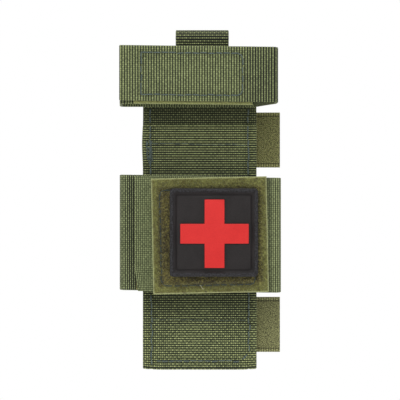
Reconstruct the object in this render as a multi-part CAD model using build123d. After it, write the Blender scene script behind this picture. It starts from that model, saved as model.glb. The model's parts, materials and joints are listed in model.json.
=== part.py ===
from build123d import *
import math
import os

# Tourniquet carrier of sewn webbing, in millimetres.
# +Z is up, the front faces -Y and +X is to the right, seen from the front.
# The origin is on the rear face of the back panel, midway between its two rear straps.

# Driving dimensions
WIDE_WEBBING = 50.8
NARROW_WEBBING = 24.0
WEBBING_THICKNESS = 1.35
TAPE_WIDTH = 25.0
HOOK_THICKNESS = 0.9
LOOP_THICKNESS = 1.1
LAYER_GAP = 0.15
FREE_GAP = 0.3

PANEL_TOP = 64.0
PANEL_BOTTOM = -76.0
FRONT_LAYER_TOP = 33.9

TOP_LOOP_X = 1.0
TOP_LOOP_TOP = 77.0
TOP_LOOP_FOOT = 47.0
TOP_LOOP_INNER_RADIUS = 3.0
TOP_LOOP_SPLIT = 64.6

UPPER_BAND_LOW = 41.9
UPPER_BAND_HIGH = 65.5
UPPER_FLAP_FACE = -29.9
UPPER_FLAP_LEFT = -34.3
UPPER_LEFT_FRONT = -34.6
UPPER_LEFT_BACK = -36.3
UPPER_RIGHT_TURN = 33.4
UPPER_HINGE_Y = -20.5
UPPER_CORNER = 2.0
UPPER_UNDER_END = 23.0
UPPER_HOOK = (-33.5, 20.0)
UPPER_LOOP = (-28.5, 22.4)

MIDDLE_BAND_LOW = -39.4
MIDDLE_BAND_HIGH = 10.6
MIDDLE_FLAP_FACE = -25.6
MIDDLE_FLAP_LEFT = -28.0
MIDDLE_LEFT_FRONT = -34.9
MIDDLE_LEFT_BACK = -35.6
MIDDLE_RIGHT_TURN = 34.9
MIDDLE_HINGE_Y = -14.5
MIDDLE_CORNER = 2.5
MIDDLE_UNDER_END = 21.0
MIDDLE_HOOK = (-27.5, 20.0)
MIDDLE_LOOP = (-27.0, 20.4)
TAPE_INSET = 0.6

LOOP_FIELD_SIZE = 49.5
LOOP_FIELD_THICKNESS = 1.8
LOOP_FIELD_X = 4.25
LOOP_FIELD_Z = -15.1
LOOP_FIELD_TILT = 1.2
FIELD_SEWN_LEFT = 3.6
FIELD_SEWN_RIGHT = 5.6
FIELD_SEWN_BOTTOM = 3.5
FIELD_SEWN_TOP = 5.2
FIELD_GROOVE_WIDTH = 0.9
FIELD_GROOVE_DEPTH = 0.9

PATCH_SIZE = 37.5
PATCH_X = 5.9
PATCH_Z = -13.8
PATCH_THICKNESS = 2.2
PATCH_RIM = 2.5
PATCH_CORNER = 1.4
PATCH_FIELD_DEPTH = 0.7
PATCH_GROOVE = 0.5
PATCH_FIELD_CORNER = 0.6
PATCH_GROOVE_CORNER = 0.4
PATCH_BACKING_INSET = 0.6
CROSS_SPAN = 29.0
CROSS_ARM = 8.4
CROSS_OFFSET = (0.25, -0.5)
CROSS_HEIGHT = 0.9

REAR_STRAP_Z = (27.25, -56.5)
REAR_STRAP_THICKNESS = 1.2
REAR_ROOT_LEFT = -25.2
REAR_HINGE_X = -19.2
REAR_TUNNEL_LEFT = -14.5
REAR_TUNNEL_RIGHT = 11.5
REAR_TUNNEL_DEPTH = 5.0
REAR_BEND_RADIUS = 0.8
REAR_HINGE_FLAT = 0.9
REAR_LANDING = 0.6
REAR_TAPE_LEFT = 15.8
REAR_TAPE_RIGHT = 25.2
REAR_STRAP_END = 36.3

STITCH_LENGTH = 2.5
STITCH_PITCH = 3.1
STITCH_WIDTH = 0.55
STITCH_HEIGHT = 0.25
SEWN_LEFT = -22.6
SEWN_RIGHT = 21.9
SEWN_BOTTOM = -72.3
SEWN_CORNER = 4.0
SEWN_END_GAP = 0.5
BACK_TACK = 2.0
CROSS_ROW_Z = (25.0, -53.9)
CROSS_ROW_X = (-21.5, 20.8)
CROSS_ROW_SLANT = 0.4
LOOP_SEWN_INSET = 2.2
TAPE_SEWN_INSET = 2.0
BAND_SEWN_INSET = 2.0
BOX_CORNER = 1.6
FLAP_SEWN_X = (-24.9, 18.1)
FLAP_SEWN_Z = (44.5, 62.4)
FLAP_SEWN_CORNER = 1.8
ROOT_SEWN = (0.9, 3.0)
REAR_SEWN_INSET = 1.5
REAR_TAPE_SEWN = 1.0
DIAGONAL_SHARES = ((0.04, 0.47), (0.53, 0.96))

HALF = WEBBING_THICKNESS / 2
HINGE_CLEARANCE = 1.7

# Levels across the layers, from the rear face of the panel to the front
PANEL_REAR_FACE = -WEBBING_THICKNESS
PANEL_FRONT_FACE = -2 * WEBBING_THICKNESS - LAYER_GAP

os.makedirs("parts", exist_ok=True)


def save(name, shape):
    """Write one sub-part."""
    export_step(shape, f"parts/{name}.step")


def group(solids):
    """Several separate solids as one sub-part."""
    return Compound(children=list(solids))


def block(x, y, z):
    """A box between two limits on each axis."""
    size = (x[1] - x[0], y[1] - y[0], z[1] - z[0])
    centre = ((x[0] + x[1]) / 2, (y[0] + y[1]) / 2, (z[0] + z[1]) / 2)
    return Pos(*centre) * Box(*size)


def ribbon(line, thickness, low, high, round_ends=()):
    """Webbing that follows a flat line and is as wide as low to high."""
    section = trace(line, thickness)
    for end in round_ends:
        section += Pos(end[0], end[1]) * Circle(thickness / 2)
    return Pos(0, 0, low) * extrude(section, high - low, dir=(0, 0, 1))


def stitch(x, y, z, angle):
    """One thread stitch that lies in a plane facing the front."""
    body = Box(STITCH_LENGTH, STITCH_HEIGHT, STITCH_WIDTH)
    return Pos(x, y, z) * Rot(0, -angle, 0) * body


def stitch_row(start, end, y, skip=()):
    """Stitches spaced along a straight row; skip lists ranges of z that have none."""
    run_x = end[0] - start[0]
    run_z = end[1] - start[1]
    length = math.hypot(run_x, run_z)
    count = max(1, int(length / STITCH_PITCH))
    angle = math.degrees(math.atan2(run_z, run_x))
    reach = abs(run_z) / length * STITCH_LENGTH / 2 + STITCH_WIDTH
    row = []
    for i in range(count):
        at = (i + 0.5) / count
        z = start[1] + run_z * at
        if not any(low - reach < z < high + reach for low, high in skip):
            row.append(stitch(start[0] + run_x * at, y, z, angle))
    return row


def stitch_box(left, right, low, high, y, corner):
    """Four rows round a rectangle, each short of its corners."""
    rows = stitch_row((left + corner, low), (right - corner, low), y)
    rows += stitch_row((left + corner, high), (right - corner, high), y)
    rows += stitch_row((left, low + corner), (left, high - corner), y)
    rows += stitch_row((right, low + corner), (right, high - corner), y)
    return rows


# Carrier: panel and top loop


def back_panel():
    """Wide webbing, folded at the bottom, with a rear and a front layer."""
    rear = -HALF
    front = -HALF - WEBBING_THICKNESS - LAYER_GAP
    fold_radius = (rear - front) / 2
    fold_centre = PANEL_BOTTOM + fold_radius + HALF
    rear_line = Line((rear, PANEL_TOP), (rear, fold_centre))
    fold = CenterArc((rear - fold_radius, fold_centre), fold_radius, 0, -180)
    front_line = Line((front, fold_centre), (front, FRONT_LAYER_TOP))
    section = trace([rear_line, fold, front_line], WEBBING_THICKNESS)
    return across(section, -WIDE_WEBBING / 2, WIDE_WEBBING / 2)


def across(section, left, right):
    """A section drawn as (Y, Z), pushed along X from left to right."""
    plane = Plane(origin=(left, 0, 0), x_dir=(0, 1, 0), z_dir=(1, 0, 0))
    return extrude(plane * section, right - left, dir=(1, 0, 0))


def top_loop():
    """Narrow webbing folded over into an open loop above the panel."""
    near = HALF
    far = HALF + WEBBING_THICKNESS + LAYER_GAP
    middle = (near + far) / 2
    radius = TOP_LOOP_INNER_RADIUS + HALF
    centre = TOP_LOOP_TOP - radius - HALF
    spread = math.degrees(math.asin((radius - (far - near) / 2) / (centre - TOP_LOOP_SPLIT)))
    arc = CenterArc((middle, centre), radius, -spread, 180 + 2 * spread)
    far_start = (far, TOP_LOOP_SPLIT)
    near_start = (near, TOP_LOOP_SPLIT)
    lines = [
        Polyline((far, TOP_LOOP_FOOT), far_start, arc @ 0),
        arc,
        Polyline(arc @ 1, near_start, (near, TOP_LOOP_FOOT)),
    ]
    section = trace(lines, WEBBING_THICKNESS)
    left = TOP_LOOP_X - NARROW_WEBBING / 2
    return across(section, left, left + NARROW_WEBBING)


# Bands: a fixed run sewn to the panel, and a flap that closes over it


def band_levels(face, panel_face):
    """Centre levels of a band's layers, from its flap's outer face and the face it is sewn to."""
    flap = face + HALF
    hook = face + WEBBING_THICKNESS + HOOK_THICKNESS / 2
    loop = hook + HOOK_THICKNESS / 2 + FREE_GAP + LOOP_THICKNESS / 2
    under = loop + LOOP_THICKNESS / 2 + HALF
    back = panel_face - HALF
    return {"flap": flap, "hook": hook, "loop": loop, "under": under, "back": back}


def band_run(levels, lefts, right, hinge_y, inner_end, corner):
    """Line of a band's fixed run, from its free inner end round to just behind the hinge."""
    left_front, left_back = lefts
    back_right = WIDE_WEBBING / 2
    side = right - HALF
    rise = (side - back_right, hinge_y - levels["back"])
    length = math.hypot(*rise)
    near = 1 - HINGE_CLEARANCE / length
    stop = (back_right + rise[0] * near, levels["back"] + rise[1] * near)
    points = [
        (inner_end, levels["under"]),
        (left_front + HALF, levels["under"]),
        (left_back + HALF, levels["back"]),
        (back_right, levels["back"]),
        stop,
    ]
    return FilletPolyline(*points, radius=corner)


def flap_run(levels, left, right, hinge_y, corner):
    """Line of a flap, from its hinge at the right turn to its cut end at the left."""
    side = right - HALF
    points = [(side, hinge_y), (side, levels["flap"]), (left, levels["flap"])]
    return FilletPolyline(*points, radius=corner)


UPPER = band_levels(UPPER_FLAP_FACE, PANEL_REAR_FACE)
MIDDLE = band_levels(MIDDLE_FLAP_FACE, PANEL_FRONT_FACE)
UPPER_EDGES = (UPPER_BAND_LOW, UPPER_BAND_HIGH)
MIDDLE_EDGES = (MIDDLE_BAND_LOW, MIDDLE_BAND_HIGH)


def upper_band():
    lefts = (UPPER_LEFT_FRONT, UPPER_LEFT_BACK)
    line = band_run(UPPER, lefts, UPPER_RIGHT_TURN, UPPER_HINGE_Y, UPPER_UNDER_END, UPPER_CORNER)
    return ribbon(line, WEBBING_THICKNESS, UPPER_BAND_LOW, UPPER_BAND_HIGH)


def upper_flap():
    line = flap_run(UPPER, UPPER_FLAP_LEFT, UPPER_RIGHT_TURN, UPPER_HINGE_Y, UPPER_CORNER)
    hinge = (UPPER_RIGHT_TURN - HALF, UPPER_HINGE_Y)
    return ribbon(line, WEBBING_THICKNESS, UPPER_BAND_LOW, UPPER_BAND_HIGH, [hinge])


def middle_band():
    lefts = (MIDDLE_LEFT_FRONT, MIDDLE_LEFT_BACK)
    line = band_run(MIDDLE, lefts, MIDDLE_RIGHT_TURN, MIDDLE_HINGE_Y, MIDDLE_UNDER_END, MIDDLE_CORNER)
    return ribbon(line, WEBBING_THICKNESS, MIDDLE_BAND_LOW, MIDDLE_BAND_HIGH)


def middle_flap():
    line = flap_run(MIDDLE, MIDDLE_FLAP_LEFT, MIDDLE_RIGHT_TURN, MIDDLE_HINGE_Y, MIDDLE_CORNER)
    hinge = (MIDDLE_RIGHT_TURN - HALF, MIDDLE_HINGE_Y)
    return ribbon(line, WEBBING_THICKNESS, MIDDLE_BAND_LOW, MIDDLE_BAND_HIGH, [hinge])


def tape(span, level, thickness, edges):
    """A flat strip of hook or loop tape on a band, a little narrower than its webbing."""
    low, high = edges
    depth = (level - thickness / 2, level + thickness / 2)
    return block(span, depth, (low + TAPE_INSET, high - TAPE_INSET))


# Loop field and patch on the middle flap

FIELD_BACK = MIDDLE_FLAP_FACE
FIELD_FACE = FIELD_BACK - LOOP_FIELD_THICKNESS


def on_field(shape):
    """A shape drawn about the middle of the loop field, moved and tilted into place."""
    return Pos(LOOP_FIELD_X, 0, LOOP_FIELD_Z) * Rot(0, -LOOP_FIELD_TILT, 0) * shape


def field_rows():
    """Start and end of each sewn row of the boxed cross, about the middle of the field."""
    half = LOOP_FIELD_SIZE / 2
    left = FIELD_SEWN_LEFT - half
    right = half - FIELD_SEWN_RIGHT
    low = FIELD_SEWN_BOTTOM - half
    high = half - FIELD_SEWN_TOP
    return {
        "sides": [
            ((left, low), (right, low)),
            ((left, high), (right, high)),
            ((left, low), (left, high)),
            ((right, low), (right, high)),
        ],
        "diagonals": [((left, high), (right, low)), ((left, low), (right, high))],
    }


def loop_field():
    """Square of loop pile with a groove pressed in along each sewn row."""
    half = LOOP_FIELD_SIZE / 2
    body = block((-half, half), (FIELD_FACE, FIELD_BACK), (-half, half))
    rows = field_rows()
    for start, end in rows["sides"] + rows["diagonals"]:
        length = math.dist(start, end) + FIELD_GROOVE_WIDTH
        angle = math.degrees(math.atan2(end[1] - start[1], end[0] - start[0]))
        middle = ((start[0] + end[0]) / 2, (start[1] + end[1]) / 2)
        cutter = Box(length, 2 * FIELD_GROOVE_DEPTH, FIELD_GROOVE_WIDTH)
        body -= Pos(middle[0], FIELD_FACE, middle[1]) * Rot(0, -angle, 0) * cutter
    return on_field(body)


def loop_field_stitching():
    """Thread of the boxed cross, down in its grooves."""
    level = FIELD_FACE + FIELD_GROOVE_DEPTH - STITCH_HEIGHT / 2
    rows = field_rows()
    solids = []
    for start, end in rows["sides"]:
        length = math.dist(start, end)
        step = ((end[0] - start[0]) / length * BOX_CORNER, (end[1] - start[1]) / length * BOX_CORNER)
        first = (start[0] + step[0], start[1] + step[1])
        last = (end[0] - step[0], end[1] - step[1])
        solids += stitch_row(first, last, level)
    for start, end in rows["diagonals"]:
        for near, far in DIAGONAL_SHARES:
            first = tuple(a + (b - a) * near for a, b in zip(start, end))
            last = tuple(a + (b - a) * far for a, b in zip(start, end))
            solids += stitch_row(first, last, level)
    return group(on_field(solid) for solid in solids)


BACKING_BACK = FIELD_FACE - FREE_GAP
BACKING_FACE = BACKING_BACK - HOOK_THICKNESS
BASE_FACE = BACKING_FACE - PATCH_THICKNESS
PATCH_FIELD_FACE = BASE_FACE + PATCH_FIELD_DEPTH


def slab(size, corner, face, depth):
    """A square with rounded corners whose front is at face and which is depth thick."""
    outline = RectangleRounded(size, size, corner)
    plane = Plane(origin=(PATCH_X, face, PATCH_Z), x_dir=(1, 0, 0), z_dir=(0, -1, 0))
    return extrude(plane * outline, depth, dir=(0, 1, 0))


def patch_hook_backing():
    size = PATCH_SIZE - 2 * PATCH_BACKING_INSET
    return slab(size, PATCH_CORNER, BACKING_FACE, HOOK_THICKNESS)


def patch_base():
    """Rubber base with a raised rim, a groove inside the rim and a flat field."""
    body = slab(PATCH_SIZE, PATCH_CORNER, BASE_FACE, PATCH_THICKNESS)
    inner = PATCH_SIZE - 2 * PATCH_RIM
    field = slab(inner, PATCH_FIELD_CORNER, BASE_FACE, PATCH_FIELD_DEPTH)
    groove = slab(inner, PATCH_FIELD_CORNER, PATCH_FIELD_FACE, PATCH_GROOVE)
    groove -= slab(inner - 2 * PATCH_GROOVE, PATCH_GROOVE_CORNER, PATCH_FIELD_FACE, PATCH_GROOVE)
    return body - field - groove


def patch_cross():
    """Raised cross that stands on the field."""
    outline = Rectangle(CROSS_SPAN, CROSS_ARM) + Rectangle(CROSS_ARM, CROSS_SPAN)
    centre = (PATCH_X + CROSS_OFFSET[0], PATCH_FIELD_FACE, PATCH_Z + CROSS_OFFSET[1])
    plane = Plane(origin=centre, x_dir=(1, 0, 0), z_dir=(0, -1, 0))
    return extrude(plane * outline, CROSS_HEIGHT, dir=(0, -1, 0))


# Rear straps


def rear_band(z):
    """Lowest and highest level of the rear strap centred at z."""
    return z - TAPE_WIDTH / 2, z + TAPE_WIDTH / 2


def rear_root(z):
    low, high = rear_band(z)
    end = REAR_HINGE_X - HINGE_CLEARANCE
    return block((REAR_ROOT_LEFT, end), (0, REAR_STRAP_THICKNESS), (low, high))


def rear_loop_tape(z):
    low, high = rear_band(z)
    return block((REAR_TAPE_LEFT, REAR_TAPE_RIGHT), (0, LOOP_THICKNESS), (low, high))


def rear_strap(z):
    """Hook tape that bows over the tunnel and lies on the loop tape, with a free pull end."""
    low, high = rear_band(z)
    half = REAR_STRAP_THICKNESS / 2
    start = FREE_GAP + half
    crest = REAR_TUNNEL_DEPTH + half
    landing = LOOP_THICKNESS + FREE_GAP + half
    points = [
        (REAR_HINGE_X, start),
        (REAR_HINGE_X + REAR_HINGE_FLAT, start),
        (REAR_TUNNEL_LEFT, crest),
        (REAR_TUNNEL_RIGHT, crest),
        (REAR_TAPE_LEFT + REAR_LANDING, landing),
        (REAR_STRAP_END, landing),
    ]
    line = FilletPolyline(*points, radius=REAR_BEND_RADIUS)
    return ribbon(line, REAR_STRAP_THICKNESS, low, high, [(REAR_HINGE_X, start)])


# Thread


def panel_stitching():
    """Rows down both sides and across the bottom, without those the middle band covers."""
    front = PANEL_FRONT_FACE - STITCH_HEIGHT / 2
    rear = PANEL_REAR_FACE - STITCH_HEIGHT / 2
    hidden = [(MIDDLE_BAND_LOW, MIDDLE_BAND_HIGH)]
    layer_end = FRONT_LAYER_TOP - SEWN_END_GAP
    above_layer = FRONT_LAYER_TOP + SEWN_END_GAP
    below_band = UPPER_BAND_LOW - SEWN_END_GAP
    turn_in = SEWN_RIGHT - SEWN_CORNER
    turn_up = SEWN_BOTTOM + SEWN_CORNER
    rows = stitch_row((SEWN_LEFT, SEWN_BOTTOM - BACK_TACK), (SEWN_LEFT, layer_end), front, hidden)
    rows += stitch_row((SEWN_RIGHT, turn_up), (SEWN_RIGHT, layer_end), front, hidden)
    rows += stitch_row((SEWN_LEFT + BACK_TACK, SEWN_BOTTOM), (turn_in, SEWN_BOTTOM), front)
    corner_start = (turn_in + STITCH_HEIGHT + STITCH_WIDTH, SEWN_BOTTOM + STITCH_WIDTH)
    corner_end = (SEWN_RIGHT - STITCH_WIDTH, turn_up - STITCH_HEIGHT - STITCH_WIDTH)
    rows += stitch_row(corner_start, corner_end, front)
    rows += stitch_row((SEWN_LEFT, above_layer), (SEWN_LEFT, below_band), rear)
    rows += stitch_row((SEWN_RIGHT, above_layer), (SEWN_RIGHT, below_band), rear)
    return group(rows)


def cross_stitching(z):
    """One row across the panel, between its side rows."""
    level = PANEL_FRONT_FACE - STITCH_HEIGHT / 2
    start = (CROSS_ROW_X[0], z + CROSS_ROW_SLANT)
    end = (CROSS_ROW_X[1], z - CROSS_ROW_SLANT)
    return group(stitch_row(start, end, level))


def top_loop_stitching():
    """Thread that holds the top loop behind the panel."""
    level = 2 * WEBBING_THICKNESS + LAYER_GAP + STITCH_HEIGHT / 2
    left = TOP_LOOP_X - NARROW_WEBBING / 2 + LOOP_SEWN_INSET
    right = TOP_LOOP_X + NARROW_WEBBING / 2 - LOOP_SEWN_INSET
    low = TOP_LOOP_FOOT + LOOP_SEWN_INSET
    high = PANEL_TOP - LOOP_SEWN_INSET
    return group(stitch_box(left, right, low, high, level, BOX_CORNER))


def band_stitching(levels, low, high):
    """Two rows that hold a band's back run on the panel."""
    level = levels["back"] - HALF - STITCH_HEIGHT / 2
    start = low + BAND_SEWN_INSET
    end = high - BAND_SEWN_INSET
    rows = stitch_row((SEWN_LEFT, start), (SEWN_LEFT, end), level)
    rows += stitch_row((SEWN_RIGHT, start), (SEWN_RIGHT, end), level)
    return group(rows)


def tape_stitching(levels, span, edges):
    """Thread round a loop tape, seen inside the band."""
    level = levels["under"] + HALF + STITCH_HEIGHT / 2
    left = span[0] + TAPE_SEWN_INSET
    right = span[1] - TAPE_SEWN_INSET
    low = edges[0] + TAPE_SEWN_INSET
    high = edges[1] - TAPE_SEWN_INSET
    return group(stitch_box(left, right, low, high, level, BOX_CORNER))


def upper_flap_stitching():
    """Box of thread on the face of the upper flap."""
    level = UPPER_FLAP_FACE - STITCH_HEIGHT / 2
    return group(stitch_box(*FLAP_SEWN_X, *FLAP_SEWN_Z, level, FLAP_SEWN_CORNER))


def rear_root_stitching():
    level = REAR_STRAP_THICKNESS + STITCH_HEIGHT / 2
    rows = []
    for z in REAR_STRAP_Z:
        low, high = rear_band(z)
        for inset in ROOT_SEWN:
            x = REAR_ROOT_LEFT + inset
            rows += stitch_row((x, low + REAR_SEWN_INSET), (x, high - REAR_SEWN_INSET), level)
    return group(rows)


def rear_loop_tape_stitching():
    """A row that holds the inner edge of each rear loop tape."""
    level = STITCH_HEIGHT / 2
    rows = []
    for z in REAR_STRAP_Z:
        low, high = rear_band(z)
        x = REAR_TAPE_LEFT - REAR_TAPE_SEWN
        rows += stitch_row((x, low + REAR_SEWN_INSET), (x, high - REAR_SEWN_INSET), level)
    return group(rows)


# Assembly

save("back_panel", back_panel())
save("top_loop", top_loop())
save("top_loop_stitching", top_loop_stitching())
save("panel_stitching", panel_stitching())
save("upper_cross_stitching", cross_stitching(CROSS_ROW_Z[0]))
save("lower_cross_stitching", cross_stitching(CROSS_ROW_Z[1]))

save("upper_band", upper_band())
save("upper_band_stitching", band_stitching(UPPER, UPPER_BAND_LOW, UPPER_BAND_HIGH))
save("upper_loop_tape", tape(UPPER_LOOP, UPPER["loop"], LOOP_THICKNESS, UPPER_EDGES))
save("upper_loop_tape_stitching", tape_stitching(UPPER, UPPER_LOOP, UPPER_EDGES))
save("upper_flap", upper_flap())
save("upper_hook_tape", tape(UPPER_HOOK, UPPER["hook"], HOOK_THICKNESS, UPPER_EDGES))
save("upper_flap_stitching", upper_flap_stitching())

save("middle_band", middle_band())
save("middle_band_stitching", band_stitching(MIDDLE, MIDDLE_BAND_LOW, MIDDLE_BAND_HIGH))
save("middle_loop_tape", tape(MIDDLE_LOOP, MIDDLE["loop"], LOOP_THICKNESS, MIDDLE_EDGES))
save("middle_loop_tape_stitching", tape_stitching(MIDDLE, MIDDLE_LOOP, MIDDLE_EDGES))
save("middle_flap", middle_flap())
save("middle_hook_tape", tape(MIDDLE_HOOK, MIDDLE["hook"], HOOK_THICKNESS, MIDDLE_EDGES))
save("loop_field", loop_field())
save("loop_field_stitching", loop_field_stitching())

save("patch_hook_backing", patch_hook_backing())
save("patch_base", patch_base())
save("patch_cross", patch_cross())

for side, z in zip(("upper", "lower"), REAR_STRAP_Z):
    save(f"rear_{side}_root", rear_root(z))
    save(f"rear_{side}_loop_tape", rear_loop_tape(z))
    save(f"rear_{side}_strap", rear_strap(z))
save("rear_root_stitching", rear_root_stitching())
save("rear_loop_tape_stitching", rear_loop_tape_stitching())
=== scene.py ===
"""Looks of a webbing tourniquet carrier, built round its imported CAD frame.

Lengths are in metres in the frame's own axes: +Z up, the front faces -Y, +X to the right.
"""
import json
import logging
import math
from dataclasses import dataclass, field
from enum import Enum
from typing import Callable, ClassVar, Sequence

import bpy
import numpy as np
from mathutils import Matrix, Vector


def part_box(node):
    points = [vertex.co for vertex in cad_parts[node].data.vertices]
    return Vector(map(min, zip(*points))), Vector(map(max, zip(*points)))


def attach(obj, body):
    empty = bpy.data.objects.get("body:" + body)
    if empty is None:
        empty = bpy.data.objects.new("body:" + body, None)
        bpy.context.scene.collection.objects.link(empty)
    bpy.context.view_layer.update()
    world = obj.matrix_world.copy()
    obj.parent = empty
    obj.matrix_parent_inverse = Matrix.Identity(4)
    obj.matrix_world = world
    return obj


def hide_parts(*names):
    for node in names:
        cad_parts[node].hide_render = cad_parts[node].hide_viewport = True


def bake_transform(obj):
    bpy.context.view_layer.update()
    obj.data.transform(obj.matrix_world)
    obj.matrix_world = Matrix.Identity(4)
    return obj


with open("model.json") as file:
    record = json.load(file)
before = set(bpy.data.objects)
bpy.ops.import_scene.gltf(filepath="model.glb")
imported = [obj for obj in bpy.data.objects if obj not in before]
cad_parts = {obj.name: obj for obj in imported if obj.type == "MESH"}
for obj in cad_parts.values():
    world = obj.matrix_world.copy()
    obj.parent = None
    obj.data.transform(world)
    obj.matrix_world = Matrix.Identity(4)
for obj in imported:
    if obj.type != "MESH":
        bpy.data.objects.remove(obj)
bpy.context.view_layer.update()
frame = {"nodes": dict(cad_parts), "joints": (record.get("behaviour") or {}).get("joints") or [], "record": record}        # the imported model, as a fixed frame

MM = 0.001
WEBBING_THICKNESS = 1.35 * MM
WHITE = (1.0, 1.0, 1.0, 1.0)
TURN_REACH = 0.4 * MM
RIPPLE_WAVES = (190.0, 280.0, 460.0)  # radians per metre
LOG = logging.getLogger("carrier")

Array = np.ndarray
Colour = tuple[float, float, float, float]
Bend = Callable[[Array], Array]
Stretch = tuple[float, float, float]
Piece = bpy.types.Object
Material = bpy.types.Material
Socket = bpy.types.NodeSocket
Value = bpy.types.NodeSocket | float | None


class Across(Enum):
    """Direction in which a strap's width lies."""

    UP = "up"
    SIDE = "side"


class Side(Enum):
    """Which way a flat detail faces, as a sign along Y."""

    FRONT = -1.0
    REAR = 1.0


# Shapes


def smooth(value: Array, low: float, high: float) -> Array:
    """Ease from 0 at low to 1 at high."""
    t = np.clip((value - low) / (high - low), 0.0, 1.0)
    return t * t * (3 - 2 * t)


@dataclass
class Path:
    """A flat line of straight runs with rounded corners, walked by distance.

    Attributes:
        points: Corners of the line, in order.
        radii: Radius of each inner corner.
        arc_step: Distance between samples on an arc.
        run_step: Distance between samples on a straight run.
    """

    points: Sequence[tuple[float, float]]
    radii: Sequence[float]
    arc_step: float = 0.06 * MM
    run_step: float = 0.5 * MM

    def __post_init__(self) -> None:
        """Walk the line once and keep its samples."""
        corners = [np.array(p, float) for p in self.points]
        line = [corners[0]]
        for before, corner, after, radius in zip(corners, corners[1:], corners[2:], self.radii):
            self._run(line, *self._arc(before, corner, after, radius))
        self._run(line, corners[-1])
        self.samples = np.array(line)
        steps = np.diff(self.samples, axis=0)
        size = np.linalg.norm(steps, axis=1)
        self.distance = np.concatenate([[0.0], np.cumsum(size)])
        self.length = float(self.distance[-1])
        self._middles = (self.distance[1:] + self.distance[:-1]) / 2
        self._angles = np.unwrap(np.arctan2(steps[:, 1], steps[:, 0]))

    def _arc(self, before: Array, corner: Array, after: Array, radius: float) -> list[Array]:
        """Points of the arc that rounds one corner.

        Args:
            before: Corner before this one.
            corner: The corner to round.
            after: Corner after this one.
            radius: Radius of the arc.

        Returns:
            Points from the arc's start to its end.
        """
        a = (before - corner) / np.linalg.norm(before - corner)
        b = (after - corner) / np.linalg.norm(after - corner)
        half = math.acos(float(np.clip(a @ b, -1, 1))) / 2
        if radius <= 0 or half > math.pi / 2 - 1e-4:
            return [corner]
        centre = corner + (a + b) / np.linalg.norm(a + b) * radius / math.sin(half)
        start = corner + a * radius / math.tan(half) - centre
        end = corner + b * radius / math.tan(half) - centre
        first = math.atan2(start[1], start[0])
        turn = (math.atan2(end[1], end[0]) - first + math.pi) % (2 * math.pi) - math.pi
        count = max(3, math.ceil(abs(turn) * radius / self.arc_step))
        angles = first + turn * np.linspace(0, 1, count + 1)
        return [centre + radius * np.array([math.cos(t), math.sin(t)]) for t in angles]

    def _run(self, line: list[Array], *points: Array) -> None:
        """Extend the line to the next points, with samples along the straight run before them.

        Args:
            line: The line so far.
            *points: The next points.
        """
        start = line[-1]
        gap = points[0] - start
        count = max(1, int(np.linalg.norm(gap) / self.run_step))
        line.extend([start + gap * (i / count) for i in range(1, count)])
        line.extend(points)

    def at(self, s: Array) -> tuple[Array, Array, Array]:
        """First coordinates, second coordinates, and headings in radians, at each distance."""
        a, b = (np.interp(s, self.distance, column) for column in self.samples.T)
        return a, b, np.interp(s, self._middles, self._angles)

    def curvature(self, s: Array) -> Array:
        """Turn per metre at each distance, positive to the left."""
        ahead, behind = (np.interp(s + d, self._middles, self._angles) for d in (TURN_REACH, -TURN_REACH))
        return (ahead - behind) / (2 * TURN_REACH)


@dataclass
class Ribbon:
    """A flat strip that follows a path, with room coordinates for anything on it.

    Attributes:
        path: Centre line of the strip.
        across: Direction of its width.
        low: Lower limit of its width.
        high: Upper limit of its width.
        bend: Last gentle deformation of the finished points.
    """

    path: Path
    across: Across
    low: float
    high: float
    bend: Bend | None = None

    @property
    def width(self) -> float:
        """Width of the strip."""
        return self.high - self.low

    def place(self, s: Array, v: Array, h: Array) -> Array:
        """Turn strip coordinates into points.

        Args:
            s: Distance along the path.
            v: Distance from the middle of the width.
            h: Height off the centre line, to the left of travel.

        Returns:
            Points, one row each.
        """
        a, b, heading = self.path.at(s)
        a = a - np.sin(heading) * h
        b = b + np.cos(heading) * h
        w = v + (self.low + self.high) / 2
        order = (a, b, w) if self.across is Across.UP else (w, a, b)
        points = np.stack(order, axis=-1)
        return self.bend(points) if self.bend else points


@dataclass(frozen=True)
class Flex:
    """Gentle, fixed unevenness of soft webbing.

    Attributes:
        tilt: Fall of the strip per metre of X, at its front.
        back: Level where the tilt starts.
        front: Level where the tilt is full.
        drop: How far the front sags.
        sway: Height of the slow ripple.
        seed: Draw of the ripple's phases.
    """

    tilt: float = 0.0
    back: float = 0.0
    front: float = -0.02
    drop: float = 0.0
    sway: float = 0.12 * MM
    seed: int = 1

    def ripple(self, a: Array, b: Array) -> Array:
        """A slow ripple over two coordinates.

        Args:
            a: First coordinates.
            b: Second coordinates.

        Returns:
            Its height, between about -1 and 1.
        """
        draw = np.random.default_rng(self.seed)
        total = np.zeros_like(a)
        for wave in RIPPLE_WAVES:
            turn, phase = draw.uniform(0, 2 * math.pi, 2)
            total += np.sin(wave * (a * math.cos(turn) + b * math.sin(turn)) + phase)
        return total / len(RIPPLE_WAVES)

    def __call__(self, points: Array) -> Array:
        """Bend finished points.

        Args:
            points: Points, one row each.

        Returns:
            The bent points.
        """
        x, y, z = points[..., 0], points[..., 1], points[..., 2]
        share = smooth(-y, -self.back, -self.front) if self.tilt or self.drop else 0.0
        moved = points.copy()
        moved[..., 2] = z - (self.tilt * x + self.drop) * share
        moved[..., 1] = y + self.sway * self.ripple(x, z)
        return moved


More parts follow.
